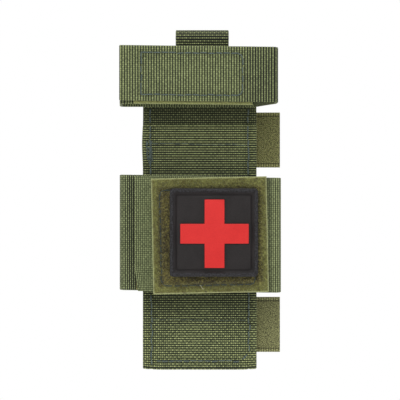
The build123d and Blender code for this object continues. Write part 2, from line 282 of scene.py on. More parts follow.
class MeshMaker:
    """Gathers points, faces and corner coordinates, and makes one object of them."""

    def __init__(self) -> None:
        """Start with nothing."""
        self.points: list[Array] = []
        self.faces: list[list[int]] = []
        self.corners: list[list[tuple[float, float]]] = []
        self.values: dict[str, list[Array]] = {}
        self.count = 0

    def add(
        self,
        points: Array,
        faces: Sequence[Sequence[int]],
        corners: Sequence[Sequence[tuple[float, float]]] | None = None,
        **values: Array,
    ) -> None:
        """Add a group of faces.

        Args:
            points: Their points, one row each.
            faces: Point numbers of each face, counted from this group's first point.
            corners: Pattern coordinates of each face's corners, all at the origin if left out.
            **values: One number per point, by name.
        """
        self.points.append(points)
        self.faces.extend([i + self.count for i in face] for face in faces)
        self.corners.extend(corners or [[(0.0, 0.0)] * len(face) for face in faces])
        for name, numbers in values.items():
            self.values.setdefault(name, []).append(numbers)
        self.count += len(points)

    def build(self, name: str, material: Material) -> Piece:
        """Make the object.

        Args:
            name: Name of the piece.
            material: Its finish.

        Returns:
            The new object, in the scene.
        """
        mesh = bpy.data.meshes.new(name)
        mesh.from_pydata(np.concatenate(self.points).tolist(), [], self.faces)
        layer = mesh.uv_layers.new(name="weave")
        flat = np.array([c for face in self.corners for c in face], np.float32)
        layer.data.foreach_set("uv", flat.ravel())
        for key, numbers in self.values.items():
            attribute = mesh.attributes.new(key, "FLOAT", "POINT")
            attribute.data.foreach_set("value", np.concatenate(numbers).astype(np.float32))
        mesh.polygons.foreach_set("use_smooth", [True] * len(mesh.polygons))
        mesh.materials.append(material)
        mesh.update()
        mesh.validate()
        piece = bpy.data.objects.new(name, mesh)
        bpy.context.scene.collection.objects.link(piece)
        return piece


def grid_faces(rows: int, columns: int, closed: bool, turned: bool = False) -> list[list[int]]:
    """Faces of a grid of points, row by row.

    Args:
        rows: Number of rows.
        columns: Number of points in a row.
        closed: Whether each row joins its own start.
        turned: Whether the faces look the other way.

    Returns:
        Point numbers of each face.
    """
    wide = columns if closed else columns - 1
    i, j = np.meshgrid(np.arange(rows - 1), np.arange(wide), indexing="ij")
    k = (j + 1) % columns
    corners = [i * columns + j, i * columns + k, (i + 1) * columns + k, (i + 1) * columns + j]
    quads = np.stack(corners, axis=-1).reshape(-1, 4)
    return (quads[:, ::-1] if turned else quads).tolist()


def grid_corners(us: Array, vs: Array, turned: bool = False) -> list[list[tuple[float, float]]]:
    """Pattern coordinates of a grid's faces.

    Args:
        us: Coordinate of each row.
        vs: Coordinate of each column, with one more where the rows are closed.
        turned: Whether the faces look the other way.

    Returns:
        Coordinates of each face's corners.
    """
    i, j = np.meshgrid(np.arange(len(us) - 1), np.arange(len(vs) - 1), indexing="ij")
    pairs = [(us[i], vs[j]), (us[i], vs[j + 1]), (us[i + 1], vs[j + 1]), (us[i + 1], vs[j])]
    quads = np.stack([np.stack(p, axis=-1) for p in pairs], axis=-2).reshape(-1, 4, 2)
    return (quads[:, ::-1] if turned else quads).tolist()


TUBE_TAPER = 0.6  # share of a tube's radius lost at its ends


def add_tube(maker: MeshMaker, line: Array, radius: float, sides: int = 6) -> None:
    """Add a thin round tube along a line.

    Args:
        maker: Where it goes.
        line: Points of its middle.
        radius: Its radius; it thins at both ends.
        sides: Number of its sides.
    """
    run = np.gradient(line, axis=0)
    run /= np.linalg.norm(run, axis=1)[:, None]
    side = np.cross(run, [0.0, 1.0, 0.0])
    side /= np.linalg.norm(side, axis=1)[:, None]
    over = np.cross(side, run)
    turns = np.linspace(0, 2 * math.pi, sides, endpoint=False)
    share = np.linspace(-1, 1, len(line))
    girth = (radius * (1 - TUBE_TAPER * share**8))[:, None, None]
    ring = np.cos(turns)[None, :, None] * side[:, None] + np.sin(turns)[None, :, None] * over[:, None]
    points = (line[:, None] + girth * ring).reshape(-1, 3)
    corners = grid_corners(share * len(line) / 8, np.linspace(0, 1, sides + 1))
    maker.add(points, grid_faces(len(line), sides, True), corners)


@dataclass(frozen=True)
class Seam:
    """A sewn line that presses a strip down.

    Attributes:
        along: Distance range along the path.
        across: Range across the width.
        depth: How far the line presses in.
        reach: How far to each side.
    """

    along: tuple[float, float]
    across: tuple[float, float]
    depth: float = 0.22 * MM
    reach: float = 0.75 * MM

    def press(self, s: Array, v: Array) -> Array:
        """Depth of the press at each place."""
        ds, dv = (np.maximum(np.maximum(r[0] - x, x - r[1]), 0) for r, x in ((self.along, s), (self.across, v)))
        return self.depth * np.exp(-(ds * ds + dv * dv) / self.reach**2)


def box_seams(along: tuple[float, float], across: tuple[float, float], *shape: float) -> list[Seam]:
    """Seams of a sewn box: its sides, then its ends, with their depth and reach if not the usual ones."""
    sides = [Seam(along, (place, place), *shape) for place in across]
    return sides + [Seam((place, place), across, *shape) for place in along]


# How webbing is shaped and worn, as shares unless a unit is given
CREST_POWER = 0.8  # less makes a rib flatter on top
OPENED_GROOVE = 0.6  # further depth of a groove where the ribs stand apart
SEALED_THINNING = 0.16  # thickness lost at a melted end
SELVEDGE_PULL = 0.3  # how far a groove draws the selvedge in, by its depth
SELVEDGE_WEAR, SEAL_WEAR, WEAR_REACH = 0.3, 0.25, 0.5 * MM
SEAM_COLUMNS = (-0.9, -0.4, 0.0, 0.4, 0.9)  # columns beside a seam, in millimetres
COLUMN_GAP, COLUMN_MARGIN = 0.25 * MM, 0.2 * MM
EDGE_TURNS = (60.0, 30.0, 0.0, -30.0, -60.0)  # degrees round a selvedge


def along_stretches(stretches: Sequence[Stretch], s: Array) -> Array:
    """Strength of all the stretches at each distance; each has a middle, a half length and a strength."""
    return sum((k * np.exp(-(((s - middle) / half) ** 4)) for middle, half, k in stretches), np.zeros_like(s))


@dataclass
class Strap:
    """Ribbed webbing, woven as a closed strip along a ribbon.

    Attributes:
        ribbon: Where the webbing lies.
        thickness: Thickness at the crest of a rib.
        rib: Distance from rib to rib.
        warp: Distance from one warp end to the next across the width.
        relief: Depth of the groove between ribs.
        seams: Sewn lines that press into its outer face.
        offset: Shift of the webbing's middle off the ribbon's line.
        sealed: Length of a melted cut end.
        corner: Radius of the cut end's corners.
        parted: Stretches where the ribs stand apart: middle, half length and strength.
        lightened: Stretches where the webbing is made paler, in the same terms; on the middle band these are
            painted light on its turned ends.
        painted_shade_until: Distance along the path up to which the webbing is painted darker, as painted shade
            for the top band's shadow on the panel's rear layer.
        clipped: How much the far end is cut back at its lower edge, and over what width.
        clip_run: Distance from the far end over which the ribs turn with that cut.
        round_edge: How far its selvedges are rounded.
        stretching: How much a bend opens the ribs.
        column_step: Distance between places across a face.
        rows_per_rib: Places along one rib.
    """

    ribbon: Ribbon
    thickness: float
    rib: float = 1.05 * MM
    warp: float = 0.95 * MM
    relief: float = 0.24 * MM
    seams: Sequence[Seam] = ()
    offset: float = 0.0
    sealed: float = 0.5 * MM
    corner: float = 0.3 * MM
    parted: Sequence[Stretch] = ()
    lightened: Sequence[Stretch] = ()
    painted_shade_until: float = 0.0
    clipped: tuple[float, float] = (0.0, 1.0)
    clip_run: float = 5 * MM
    round_edge: float = 0.3 * MM
    stretching: float = 1.5
    column_step: float = 2.1 * MM
    rows_per_rib: int = 4

    def _columns(self) -> Array:
        """Lay out one face.

        Returns:
            Places across it, closer together beside a seam.
        """
        half = self.ribbon.width / 2 - self.round_edge
        count = max(4, round(2 * half / self.column_step))
        columns = set(np.linspace(-half, half, count + 1).tolist())
        beside = {edge + side * MM for seam in self.seams for edge in seam.across for side in SEAM_COLUMNS}
        columns |= {place for place in beside if abs(place) < half - COLUMN_MARGIN}
        ordered = sorted(columns)
        kept = [ordered[0]]
        for place in ordered[1:-1]:
            if min(place - kept[-1], ordered[-1] - place) > COLUMN_GAP:
                kept.append(place)
        return np.array([*kept, ordered[-1]])

    def _section(self) -> tuple[Array, Array]:
        """Lay out the strip's section.

        Returns:
            Places round it, and which face each is on, from -1 to 1.
        """
        face = self._columns()
        turns = np.radians(EDGE_TURNS)
        reach = face[-1] + self.round_edge * np.cos(turns)
        v = np.concatenate([face, reach, face[::-1], -reach[::-1]])
        rise = np.sin(turns)
        side = np.concatenate([np.ones(len(face)), rise, -np.ones(len(face)), rise[::-1]])
        return v, side

    def build(self, name: str, material: Material) -> Piece:
        """Weave the strap.

        Args:
            name: Name of the piece.
            material: Its finish.

        Returns:
            The new object.
        """
        path = self.ribbon.path
        ribs = max(2, round(path.length / self.rib))
        rows = ribs * self.rows_per_rib + 1
        u = np.linspace(0, ribs, rows)
        s = u * path.length / ribs
        v, side = self._section()
        s_grid, v_grid = np.meshgrid(s, v, indexing="ij")
        side_grid = np.broadcast_to(side, s_grid.shape)
        stretch = -path.curvature(s)[:, None] * side_grid * self.thickness / 2
        spread = np.clip(stretch * self.stretching + along_stretches(self.parted, s_grid), 0, 1)
        end = np.minimum(s, path.length - s)[:, None]
        seal = 1 - smooth(end, 0.0, self.sealed) if self.sealed else np.zeros_like(end)
        crest = np.sin(math.pi * (u % 1))[:, None] ** CREST_POWER
        groove = self.relief * (1 - crest) * (1 + OPENED_GROOVE * spread) * (1 - seal)
        height = self.thickness / 2 - groove - seal * self.thickness * SEALED_THINNING
        for seam in self.seams:
            height = height - seam.press(s_grid, v_grid) * (side_grid > 0.5)
        turned = np.maximum(self.corner - end, 0) / max(self.corner, 1e-9)
        inset = self.corner * (1 - np.sqrt(np.maximum(1 - turned**2, 0)))
        half = self.ribbon.width / 2
        edge_pull = groove * SELVEDGE_PULL * (1 - np.abs(side_grid))
        v_grid = v_grid * (1 - (inset + edge_pull) / half)
        back, over = self.clipped
        cut = back * np.maximum(0, (-half + over - v_grid) / over)
        s_grid = s_grid - cut * smooth(s_grid, path.length - self.clip_run, path.length)
        points = self.ribbon.place(s_grid, v_grid, self.offset + height * side_grid)
        round_section = np.concatenate([[0], np.cumsum(np.abs(np.diff(v)) + 0.1 * MM)])
        around = np.append(round_section, round_section[-1] + self.round_edge) / self.warp
        worn = np.exp(-(half - np.abs(v_grid)) / WEAR_REACH) * SELVEDGE_WEAR + seal * SEAL_WEAR
        # The lightened stretches add to the real wear; on the middle band they are painted light on its turned
        # ends.
        worn = worn + along_stretches(self.lightened, s_grid)
        # Painted shade: the webbing before the given distance is marked for darkening, for the top band's
        # shadow on the panel's rear layer.
        dull = np.where(s_grid < self.painted_shade_until, 1.0, 0.0)
        maker = MeshMaker()
        maker.add(
            points.reshape(-1, 3),
            grid_faces(rows, len(v), True, True),
            grid_corners(u, around, True),
            spread=spread.ravel(),
            worn=np.clip(worn, 0, 1).ravel(),
            dull=dull.ravel(),
        )
        self._cap(maker, points[0], around, False)
        self._cap(maker, points[-1], around, True)
        return maker.build(name, material)

    @staticmethod
    def _cap(maker: MeshMaker, ring: Array, around: Array, turned: bool) -> None:
        """Close a cut end.

        Args:
            maker: Where the faces go.
            ring: Points of the end's outline.
            around: Pattern coordinates along the outline.
            turned: Whether the face looks the other way.
        """
        count = len(ring)
        face = list(range(count))[:: -1 if turned else 1]
        corners = [(0.5, float(around[i])) for i in face]
        maker.add(ring, [face], [corners], spread=np.zeros(count), worn=np.ones(count), dull=np.zeros(count))


# Loose loops of yarn on a pile, in millimetres, and the share of a seam's depth beyond which none stand
LOOP_REACH, LOOP_RISE, LOOP_YARN = (0.22, 0.48), (0.2, 0.5), 0.075
LOOP_SINK, LOOP_MARGIN, LOOP_OVERHANG = 0.12, 0.35, 0.1
LOOP_RINGS, LOOP_SIDES, LOOPS_PRESSED = 5, 3, 0.45
OUTSIDE_BASE = 0.35  # how far a narrow tape counts as outside a box
LOW_PILE = 0.25  # height of the pile at the border


@dataclass
class Pile:
    """Brushed loop pile on a woven base, with pressed seams and a flat border.

    Attributes:
        ribbon: Where the base lies; the pile stands on its left.
        base: Thickness of the woven base.
        pile: Height of the pile above the base.
        border: Width of the flat border.
        seams: Sewn lines.
        cell: Size of the grid.
        seed: Draw of the tufts.
        tuft: Height of the tufts.
        box: Sewn box on a large field, round which the pile is painted darker as shade: lowest and highest
            distance, then width limits.
    """

    ribbon: Ribbon
    base: float = 0.5 * MM
    pile: float = 0.7 * MM
    border: float = 1.0 * MM
    seams: Sequence[Seam] = ()
    cell: float = 0.38 * MM
    seed: int = 3
    tuft: float = 0.16 * MM
    box: tuple[float, float, float, float] | None = None

    def _grown(self, edge: Array) -> Array:
        """How fully the pile stands at a distance from the edge."""
        return smooth(edge, self.border * 0.55, self.border * 1.5)

    def _rise(self, grown: Array) -> Array:
        """Height of the pile above its base."""
        return self.pile * (LOW_PILE + (1 - LOW_PILE) * grown)

    def _outside(self, s: Array, v: Array) -> Array:
        """How far outside the sewn box a place is.

        Args:
            s: Distances along.
            v: Places across.

        Returns:
            Shares from 0 to 1.
        """
        if self.box is None:
            return np.full_like(s, OUTSIDE_BASE)
        s0, s1, v0, v1 = self.box
        reach = np.maximum(np.maximum(s0 - s, s - s1), np.maximum(v0 - v, v - v1))
        # The share rises from 1.2 mm inside the box to 2.8 mm outside it, so the painted shade round the patch
        # fades out past the seam.
        return smooth(reach, -1.2 * MM, 2.8 * MM)

    def build(self, name: str, material: Material) -> Piece:
        """Grow the pile.

        Args:
            name: Name of the piece.
            material: Its finish.

        Returns:
            The new object.
        """
        length, width = self.ribbon.path.length, self.ribbon.width
        rows, columns = (max(6, round(x / self.cell)) + 1 for x in (length, width))
        s = np.linspace(0, length, rows)
        v = np.linspace(-width / 2, width / 2, columns)
        s_grid, v_grid = np.meshgrid(s, v, indexing="ij")
        draw = np.random.default_rng(self.seed)
        fine = self._blur(draw.normal(size=(rows, columns)), 1)
        clump = self._blur(draw.normal(size=(rows, columns)), 4)
        edge = np.minimum(np.minimum(s_grid, length - s_grid), width / 2 - np.abs(v_grid))
        grown = self._grown(edge)
        height = self.base + self._rise(grown) * smooth(edge, -0.1 * MM, 0.45 * MM)
        height += self.tuft * grown * (0.8 * fine + 0.7 * clump)
        pressed = np.zeros_like(height)
        for seam in self.seams:
            pressed = np.maximum(pressed, seam.press(s_grid, v_grid))
        height = np.maximum(height - pressed, self.base * 0.8)
        top = self.ribbon.place(s_grid, v_grid, height).reshape(-1, 3)
        under = self.ribbon.place(s_grid, v_grid, np.zeros_like(height)).reshape(-1, 3)
        many = rows * columns
        values = {
            "grown": np.concatenate([grown.ravel(), np.zeros(many)]),
            "pressed": np.concatenate([(pressed / self.pile).ravel(), np.zeros(many)]),
            "outside": np.concatenate([self._outside(s_grid, v_grid).ravel(), np.ones(many)]),
        }
        faces = grid_faces(rows, columns, False, True)
        bottom = grid_faces(rows, columns, False)
        ring = [*range(columns), *(r * columns + columns - 1 for r in range(1, rows))]
        ring += [(rows - 1) * columns + c for c in range(columns - 2, -1, -1)]
        ring += [r * columns for r in range(rows - 2, 0, -1)]
        walls = [[a, b, b + many, a + many] for a, b in zip(ring, ring[1:] + ring[:1])]
        corners = grid_corners(s / MM, v / MM, True) + grid_corners(s / MM, v / MM)
        corners += [[(0.0, 0.0)] * 4] * len(walls)
        all_faces = faces + [[i + many for i in f] for f in bottom] + walls
        maker = MeshMaker()
        maker.add(np.concatenate([top, under]), all_faces, corners, **values)
        return maker.build(name, material)

    def fibres(self, name: str, material: Material, count: int) -> Piece:
        """Stand separate loops of yarn on the pile.

        Args:
            name: Name of the piece.
            material: Its finish.
            count: Number of loops.

        Returns:
            The loops, as one piece.
        """
        draw = np.random.default_rng(self.seed + 500)
        length, half = self.ribbon.path.length, self.ribbon.width / 2
        edge = LOOP_MARGIN * MM
        s, v = draw.uniform(edge, length - edge, count), draw.uniform(edge - half, half - edge, count)
        reach, rise = draw.uniform(*LOOP_REACH, count) * MM, draw.uniform(*LOOP_RISE, count) * MM
        turn = draw.uniform(0, 2 * math.pi, count)
        pressed = np.zeros(count)
        for seam in self.seams:
            pressed = np.maximum(pressed, seam.press(s, v) / seam.depth)
        keep = pressed < LOOPS_PRESSED
        s, v, reach, rise, turn = (a[keep] for a in (s, v, reach, rise, turn))
        border = np.minimum(np.minimum(s, length - s), half - np.abs(v))
        foot = self.base + self._rise(self._grown(border)) - LOOP_SINK * MM
        rings, sides, thick = LOOP_RINGS, LOOP_SIDES, LOOP_YARN * MM
        t = np.linspace(-1, 1, rings)
        corner = np.arange(sides) * 2 * math.pi / sides
        ds = reach[:, None, None] * t[None, :, None] + 0 * corner
        dv = thick * np.cos(corner)[None, None, :] + 0 * ds
        dh = rise[:, None, None] * (1 - t**2)[None, :, None] + thick * np.sin(corner)
        c, w = np.cos(turn)[:, None, None], np.sin(turn)[:, None, None]
        all_s = s[:, None, None] + c * ds - w * dv
        all_v = v[:, None, None] + w * ds + c * dv
        all_s = np.clip(all_s, -LOOP_OVERHANG * MM, length + LOOP_OVERHANG * MM)
        points = self.ribbon.place(all_s, all_v, foot[:, None, None] + dh).reshape(-1, 3)
        tube = np.array(grid_faces(rings, sides, True))
        faces = (tube[None] + (np.arange(len(s)) * rings * sides)[:, None, None]).reshape(-1, 4).tolist()
        maker = MeshMaker()
        ones = np.ones(len(points))
        outside = np.repeat(self._outside(s, v), rings * sides)
        maker.add(points, faces, grown=ones, pressed=0 * ones, outside=outside)
        return maker.build(name, material)

    @staticmethod
    def _blur(values: Array, rounds: int) -> Array:
        """Soften a random grid and bring it back to unit spread.

        Args:
            values: The grid.
            rounds: How often it is softened.

        Returns:
            The soft grid.
        """
        for axis in (0, 1) * rounds:
            values = (values + np.roll(values, 1, axis) + np.roll(values, -1, axis)) / 3
        return values / values.std()


# A hook from its foot to its tip: how far out and how thick, in millimetres, and how high by its height
HOOK_OUT, HOOK_GIRTH = (0.0, 0.0, 0.12, 0.32, 0.4), (0.11, 0.1, 0.1, 0.09, 0.06)
HOOK_UP = (-0.1, 0.62, 0.95, 0.9, 0.6)
HOOK_FLATNESS, HOOK_LEAN, HOOK_STRAY = 0.7, (0.8, 1.2), (0.07 * MM, 0.06 * MM)
# The hook base is painted darker along the groove between selvedge and hook field, as shade in the groove.
GROOVE_REACH, GROOVE_SHADE = 0.2 * MM, 0.85


@dataclass
class HookTape:
    """Hook tape: a woven base with selvedges and a field of small nylon hooks.

    Attributes:
        ribbon: Where the tape lies.
        base: Thickness of the woven base.
        middle: Height of the base's middle off the ribbon's line.
        facing: 1 if the hooks stand on the left of travel, -1 on the right.
        selvedge: Width of the plain border.
        hook: Height of a hook above the base.
        pitch: Spacing of the hooks along and across.
        seed: Draw of their unevenness.
        row_step: Distance between places along the base.
        ends: Lengths without hooks at its start and its end.
    """

    ribbon: Ribbon
    base: float = 0.45 * MM
    middle: float = 0.0
    facing: float = 1.0
    selvedge: float = 1.7 * MM
    hook: float = 0.45 * MM
    pitch: tuple[float, float] = (1.35 * MM, 0.95 * MM)
    seed: int = 5
    row_step: float = 0.6 * MM
    ends: tuple[float, float] = (0.6 * MM, 0.6 * MM)

    def build(self, name: str, material: Material, hooks: Material) -> tuple[Piece, Piece]:
        """Weave the base and stand its hooks on it, each in its own finish."""
        return self._weave(name, material), self._hooks(name + "_hooks", hooks)

    def _profile(self) -> tuple[Array, Array, Array]:
        """Lay out the base's section.

        Returns:
            Places across, heights in base thicknesses, and how much of each is hook field.
        """
        half = self.ribbon.width / 2
        inner = half - self.selvedge
        places = [-half, -half + 0.25 * MM, -half + 0.5 * MM, -inner - 0.35 * MM, -inner - 0.1 * MM]
        places += [-inner + 0.15 * MM, -inner + 0.4 * MM, -inner + 0.7 * MM]
        middle = np.linspace(-inner + 2 * MM, 0, 4).tolist()
        left = np.array(places + middle)
        rise = np.array([0.15, 0.42, 0.5, 0.5, 0.3, 0.3, 0.62, 0.5, 0.5, 0.5, 0.5, 0.5])
        grown = np.array([0, 0, 0, 0, 0, 0, 0, 1, 1, 1, 1, 1.0])
        return (
            np.concatenate([left, -left[-2::-1]]),
            np.concatenate([rise, rise[-2::-1]]),
            np.concatenate([grown, grown[-2::-1]]),
        )

    def _weave(self, name: str, material: Material) -> Piece:
        """Weave the base.

        Args:
            name: Name of the piece.
            material: Its finish.

        Returns:
            The base.
        """
        path = self.ribbon.path
        rows = max(3, round(path.length / self.row_step)) + 1
        s = np.linspace(0, path.length, rows)
        v, rise, grown = self._profile()
        count = len(v)
        ring_v = np.concatenate([v, v[::-1]])
        ring_h = np.concatenate([rise * self.facing, -np.minimum(rise[::-1], 0.5) * self.facing])
        ring_grown = np.concatenate([grown, np.zeros(count)])
        inner = self.ribbon.width / 2 - self.selvedge
        # Painted shade: mark the groove between selvedge and hook field for darkening.
        groove = np.where(np.abs(np.abs(v) - inner) < GROOVE_REACH, GROOVE_SHADE, 0.0)
        groove = np.concatenate([groove, np.zeros(count)])
        s_grid, v_grid = np.meshgrid(s, ring_v, indexing="ij")
        h_grid = np.broadcast_to(self.middle + ring_h * self.base, s_grid.shape)
        points = self.ribbon.place(s_grid, v_grid, h_grid)
        turned = self.facing > 0
        around = np.append(ring_v, ring_v[0]) / MM
        maker = MeshMaker()
        maker.add(
            points.reshape(-1, 3),
            grid_faces(rows, 2 * count, True, turned),
            grid_corners(s / MM, around, turned),
            grown=np.tile(ring_grown, rows),
            groove=np.tile(groove, rows),
        )
        for ring, place, flip in ((points[0], s[0], not turned), (points[-1], s[-1], turned)):
            order = list(range(2 * count))[:: -1 if flip else 1]
            corners = [(place / MM, float(around[i])) for i in order]
            maker.add(ring, [order], [corners], grown=np.zeros(2 * count), groove=np.zeros(2 * count))
        return maker.build(name, material)

    def _hooks(self, name: str, material: Material) -> Piece:
        """Stand the hooks in staggered rows, each a bent bristle.

        Args:
            name: Name of the piece.
            material: Its finish.

        Returns:
            The hooks, as one piece.
        """
        draw = np.random.default_rng(self.seed)
        inner = self.ribbon.width / 2 - self.selvedge - 0.3 * MM
        first, last = self.ends[0], self.ribbon.path.length - self.ends[1]
        along = np.arange(first, last, self.pitch[0])
        over = np.arange(-inner, inner, self.pitch[1])
        i, j = np.meshgrid(np.arange(len(along)), np.arange(len(over)), indexing="ij")
        s = along[i] + (j % 2) * self.pitch[0] / 2 + draw.normal(0, HOOK_STRAY[0], i.shape)
        v = over[j] + draw.normal(0, HOOK_STRAY[1], i.shape)
        keep = s.ravel() < last
        s, v = s.ravel()[keep], v.ravel()[keep]
        lean = np.where((j.ravel()[keep] % 2) == 0, 1.0, -1.0)
        lean = lean * draw.uniform(*HOOK_LEAN, len(s))
        line_s = np.array(HOOK_OUT) * MM
        line_h = np.array(HOOK_UP) * self.hook
        thick = np.array(HOOK_GIRTH) * MM
        turns = np.arange(4) * math.pi / 2 + math.pi / 4
        flat = thick[:, None] * HOOK_FLATNESS * np.cos(turns)[None, :]
        ds = line_s[:, None] + flat
        dv = thick[:, None] * np.sin(turns)[None, :]
        dh = line_h[:, None] + flat * 0.5
        count, rings = len(s), len(line_s)
        all_s = s[:, None, None] + lean[:, None, None] * ds[None]
        all_v = v[:, None, None] + np.broadcast_to(dv, (count, rings, 4))
        foot = self.middle + self.facing * self.base / 2
        all_h = foot + self.facing * np.broadcast_to(dh, (count, rings, 4))
        points = self.ribbon.place(all_s, all_v, all_h).reshape(-1, 3)
        tube = grid_faces(rings, 4, True)
        tube.append([rings * 4 - 4 + k for k in range(4)])
        faces = [[k + n * rings * 4 for k in face] for n in range(count) for face in tube]
        maker = MeshMaker()
        maker.add(points, faces)
        return maker.build(name, material)


# Node trees


class Tree:
    """Short hand for building one material."""

    def __init__(self, name: str) -> None:
        """Make an empty material with its shader.

        Args:
            name: Name of the material.
        """
        self.material = bpy.data.materials.new(name)
        self.material.use_nodes = True
        self.nodes = self.material.node_tree.nodes
        self.links = self.material.node_tree.links
        self.shader = self.nodes["Principled BSDF"]

    def set(self, **values: float | Colour) -> None:
        """Set the shader's own sockets; underscores stand for spaces."""
        for key, value in values.items():
            self.shader.inputs[key.replace("_", " ")].default_value = value

    def feed(self, target: Socket, value: Value | Colour) -> None:
        """Give a socket a link or a fixed value.

        Args:
            target: The socket.
            value: A socket to link, a fixed value, or None to leave it as it is.
        """
        if isinstance(value, bpy.types.NodeSocket):
            self.links.new(value, target)
        elif value is not None:
            target.default_value = value

    def node(self, kind: str, result: int | str, inputs: dict, **settings: str | bool) -> Socket:
        """Add a node.

        Args:
            kind: Its kind, without the first word that all shader nodes share.
            result: Which of its outputs is wanted.
            inputs: What its inputs get, by number or name.
            **settings: Its settings, by name.

        Returns:
            The output.
        """
        node = self.nodes.new("ShaderNode" + kind)
        for name, setting in settings.items():
            setattr(node, name, setting)
        for key, value in inputs.items():
            self.feed(node.inputs[key], value)
        return node.outputs[result]

    def math(self, operation: str, a: Value, b: Value = None, clamp: bool = False) -> Socket:
        """One sum; a and b are sockets or numbers."""
        return self.node("Math", 0, {0: a, 1: b}, operation=operation, use_clamp=clamp)

    def times(self, a: Value, b: Value) -> Socket:
        """a times b."""
        return self.math("MULTIPLY", a, b)

    def plus(self, a: Value, b: Value, clamp: bool = False) -> Socket:
        """a plus b, held between 0 and 1 if clamp is set."""
        return self.math("ADD", a, b, clamp)

    def minus(self, a: Value, b: Value) -> Socket:
        """a less b."""
        return self.math("SUBTRACT", a, b)

    def sine(self, angle: Value) -> Socket:
        """Sine of an angle in radians."""
        return self.math("SINE", angle)

    def wave(self, place: Value, period: float = 1.0) -> Socket:
        """A wave between 0 and 1 along a coordinate."""
        return self.plus(self.times(self.sine(self.times(place, 2 * math.pi / period)), 0.5), 0.5)

    def weave(self) -> tuple[Socket, Socket]:
        """The pattern coordinates: along and across."""
        split = self.node("SeparateXYZ", 0, {0: self.node("UVMap", 0, {}, uv_map="weave")}).node
        return split.outputs[0], split.outputs[1]

    def place(self) -> Socket:
        """The piece's own coordinates."""
        return self.node("TexCoord", "Object", {})

    def value(self, name: str) -> Socket:
        """A number kept on the mesh."""
        return self.node("Attribute", "Fac", {}, attribute_name=name)

    def join(self, x: Value, y: Value, z: Value = 0.0) -> Socket:
        """Three numbers as one vector."""
        return self.node("CombineXYZ", 0, {0: x, 1: y, 2: z})

    def noise(self, at: Socket, scale: float, detail: float = 2.0, rough: float = 0.5) -> Socket:
        """Soft noise between 0 and 1."""
        inputs = {"Vector": at, "Scale": scale, "Detail": detail, "Roughness": rough}
        return self.node("TexNoise", "Fac", inputs)

    def random(self, cell: Socket) -> Socket:
        """A random number for each whole-number cell."""
        return self.node("TexWhiteNoise", "Value", {"Vector": cell})

    def ramp(self, at: Value, *stops: tuple[float, Colour]) -> Socket:
        """Colour by a number.

        Args:
            at: The number.
            *stops: Places and their colours, in order.

        Returns:
            The colour.
        """
        colour = self.node("ValToRGB", 0, {0: at})
        elements = colour.node.color_ramp.elements
        elements[0].position, elements[0].color = stops[0]
        elements[1].position, elements[1].color = stops[-1]
        for position, shade in stops[1:-1]:
            elements.new(position).color = shade
        return colour

    def blend(self, share: Value, a: Socket | Colour, b: Socket | Colour) -> Socket:
        """Mix two colours."""
        return self.node("Mix", 2, {0: share, 6: a, 7: b}, data_type="RGBA")

    def bump(self, height: Socket, distance: float, strength: float = 1.0) -> None:
        """Raise the surface by a height."""
        normal = self.node("Bump", 0, {"Strength": strength, "Distance": distance, "Height": height})
        self.links.new(normal, self.shader.inputs["Normal"])

    def paint(self, colour: Socket) -> None:
        """Colour the shader."""
        self.links.new(colour, self.shader.inputs["Base Color"])


def tone(*screen: float) -> Colour:
    """A colour given as red, green and blue screen values up to 255, turned into light."""
    parts = [value / 255 for value in screen]
    return *(p / 12.92 if p <= 0.04045 else ((p + 0.055) / 1.055) ** 2.4 for p in parts), 1.0


@dataclass(frozen=True)
class Finish:
    """A surface finish, made once and shared.

    Attributes:
        name: Name of its material.
    """

    name: str
    made: ClassVar[dict[str, Material]] = {}

    def material(self) -> Material:
        """Give the finish's material, made the first time it is asked for.

        Returns:
            The material.
        """
        if self.name not in self.made:
            tree = Tree(self.name)
            self.make(tree)
            self.made[self.name] = tree.material
        return self.made[self.name]

    def make(self, tree: Tree) -> None:
        """Build the nodes; each finish has its own way."""
        raise NotImplementedError


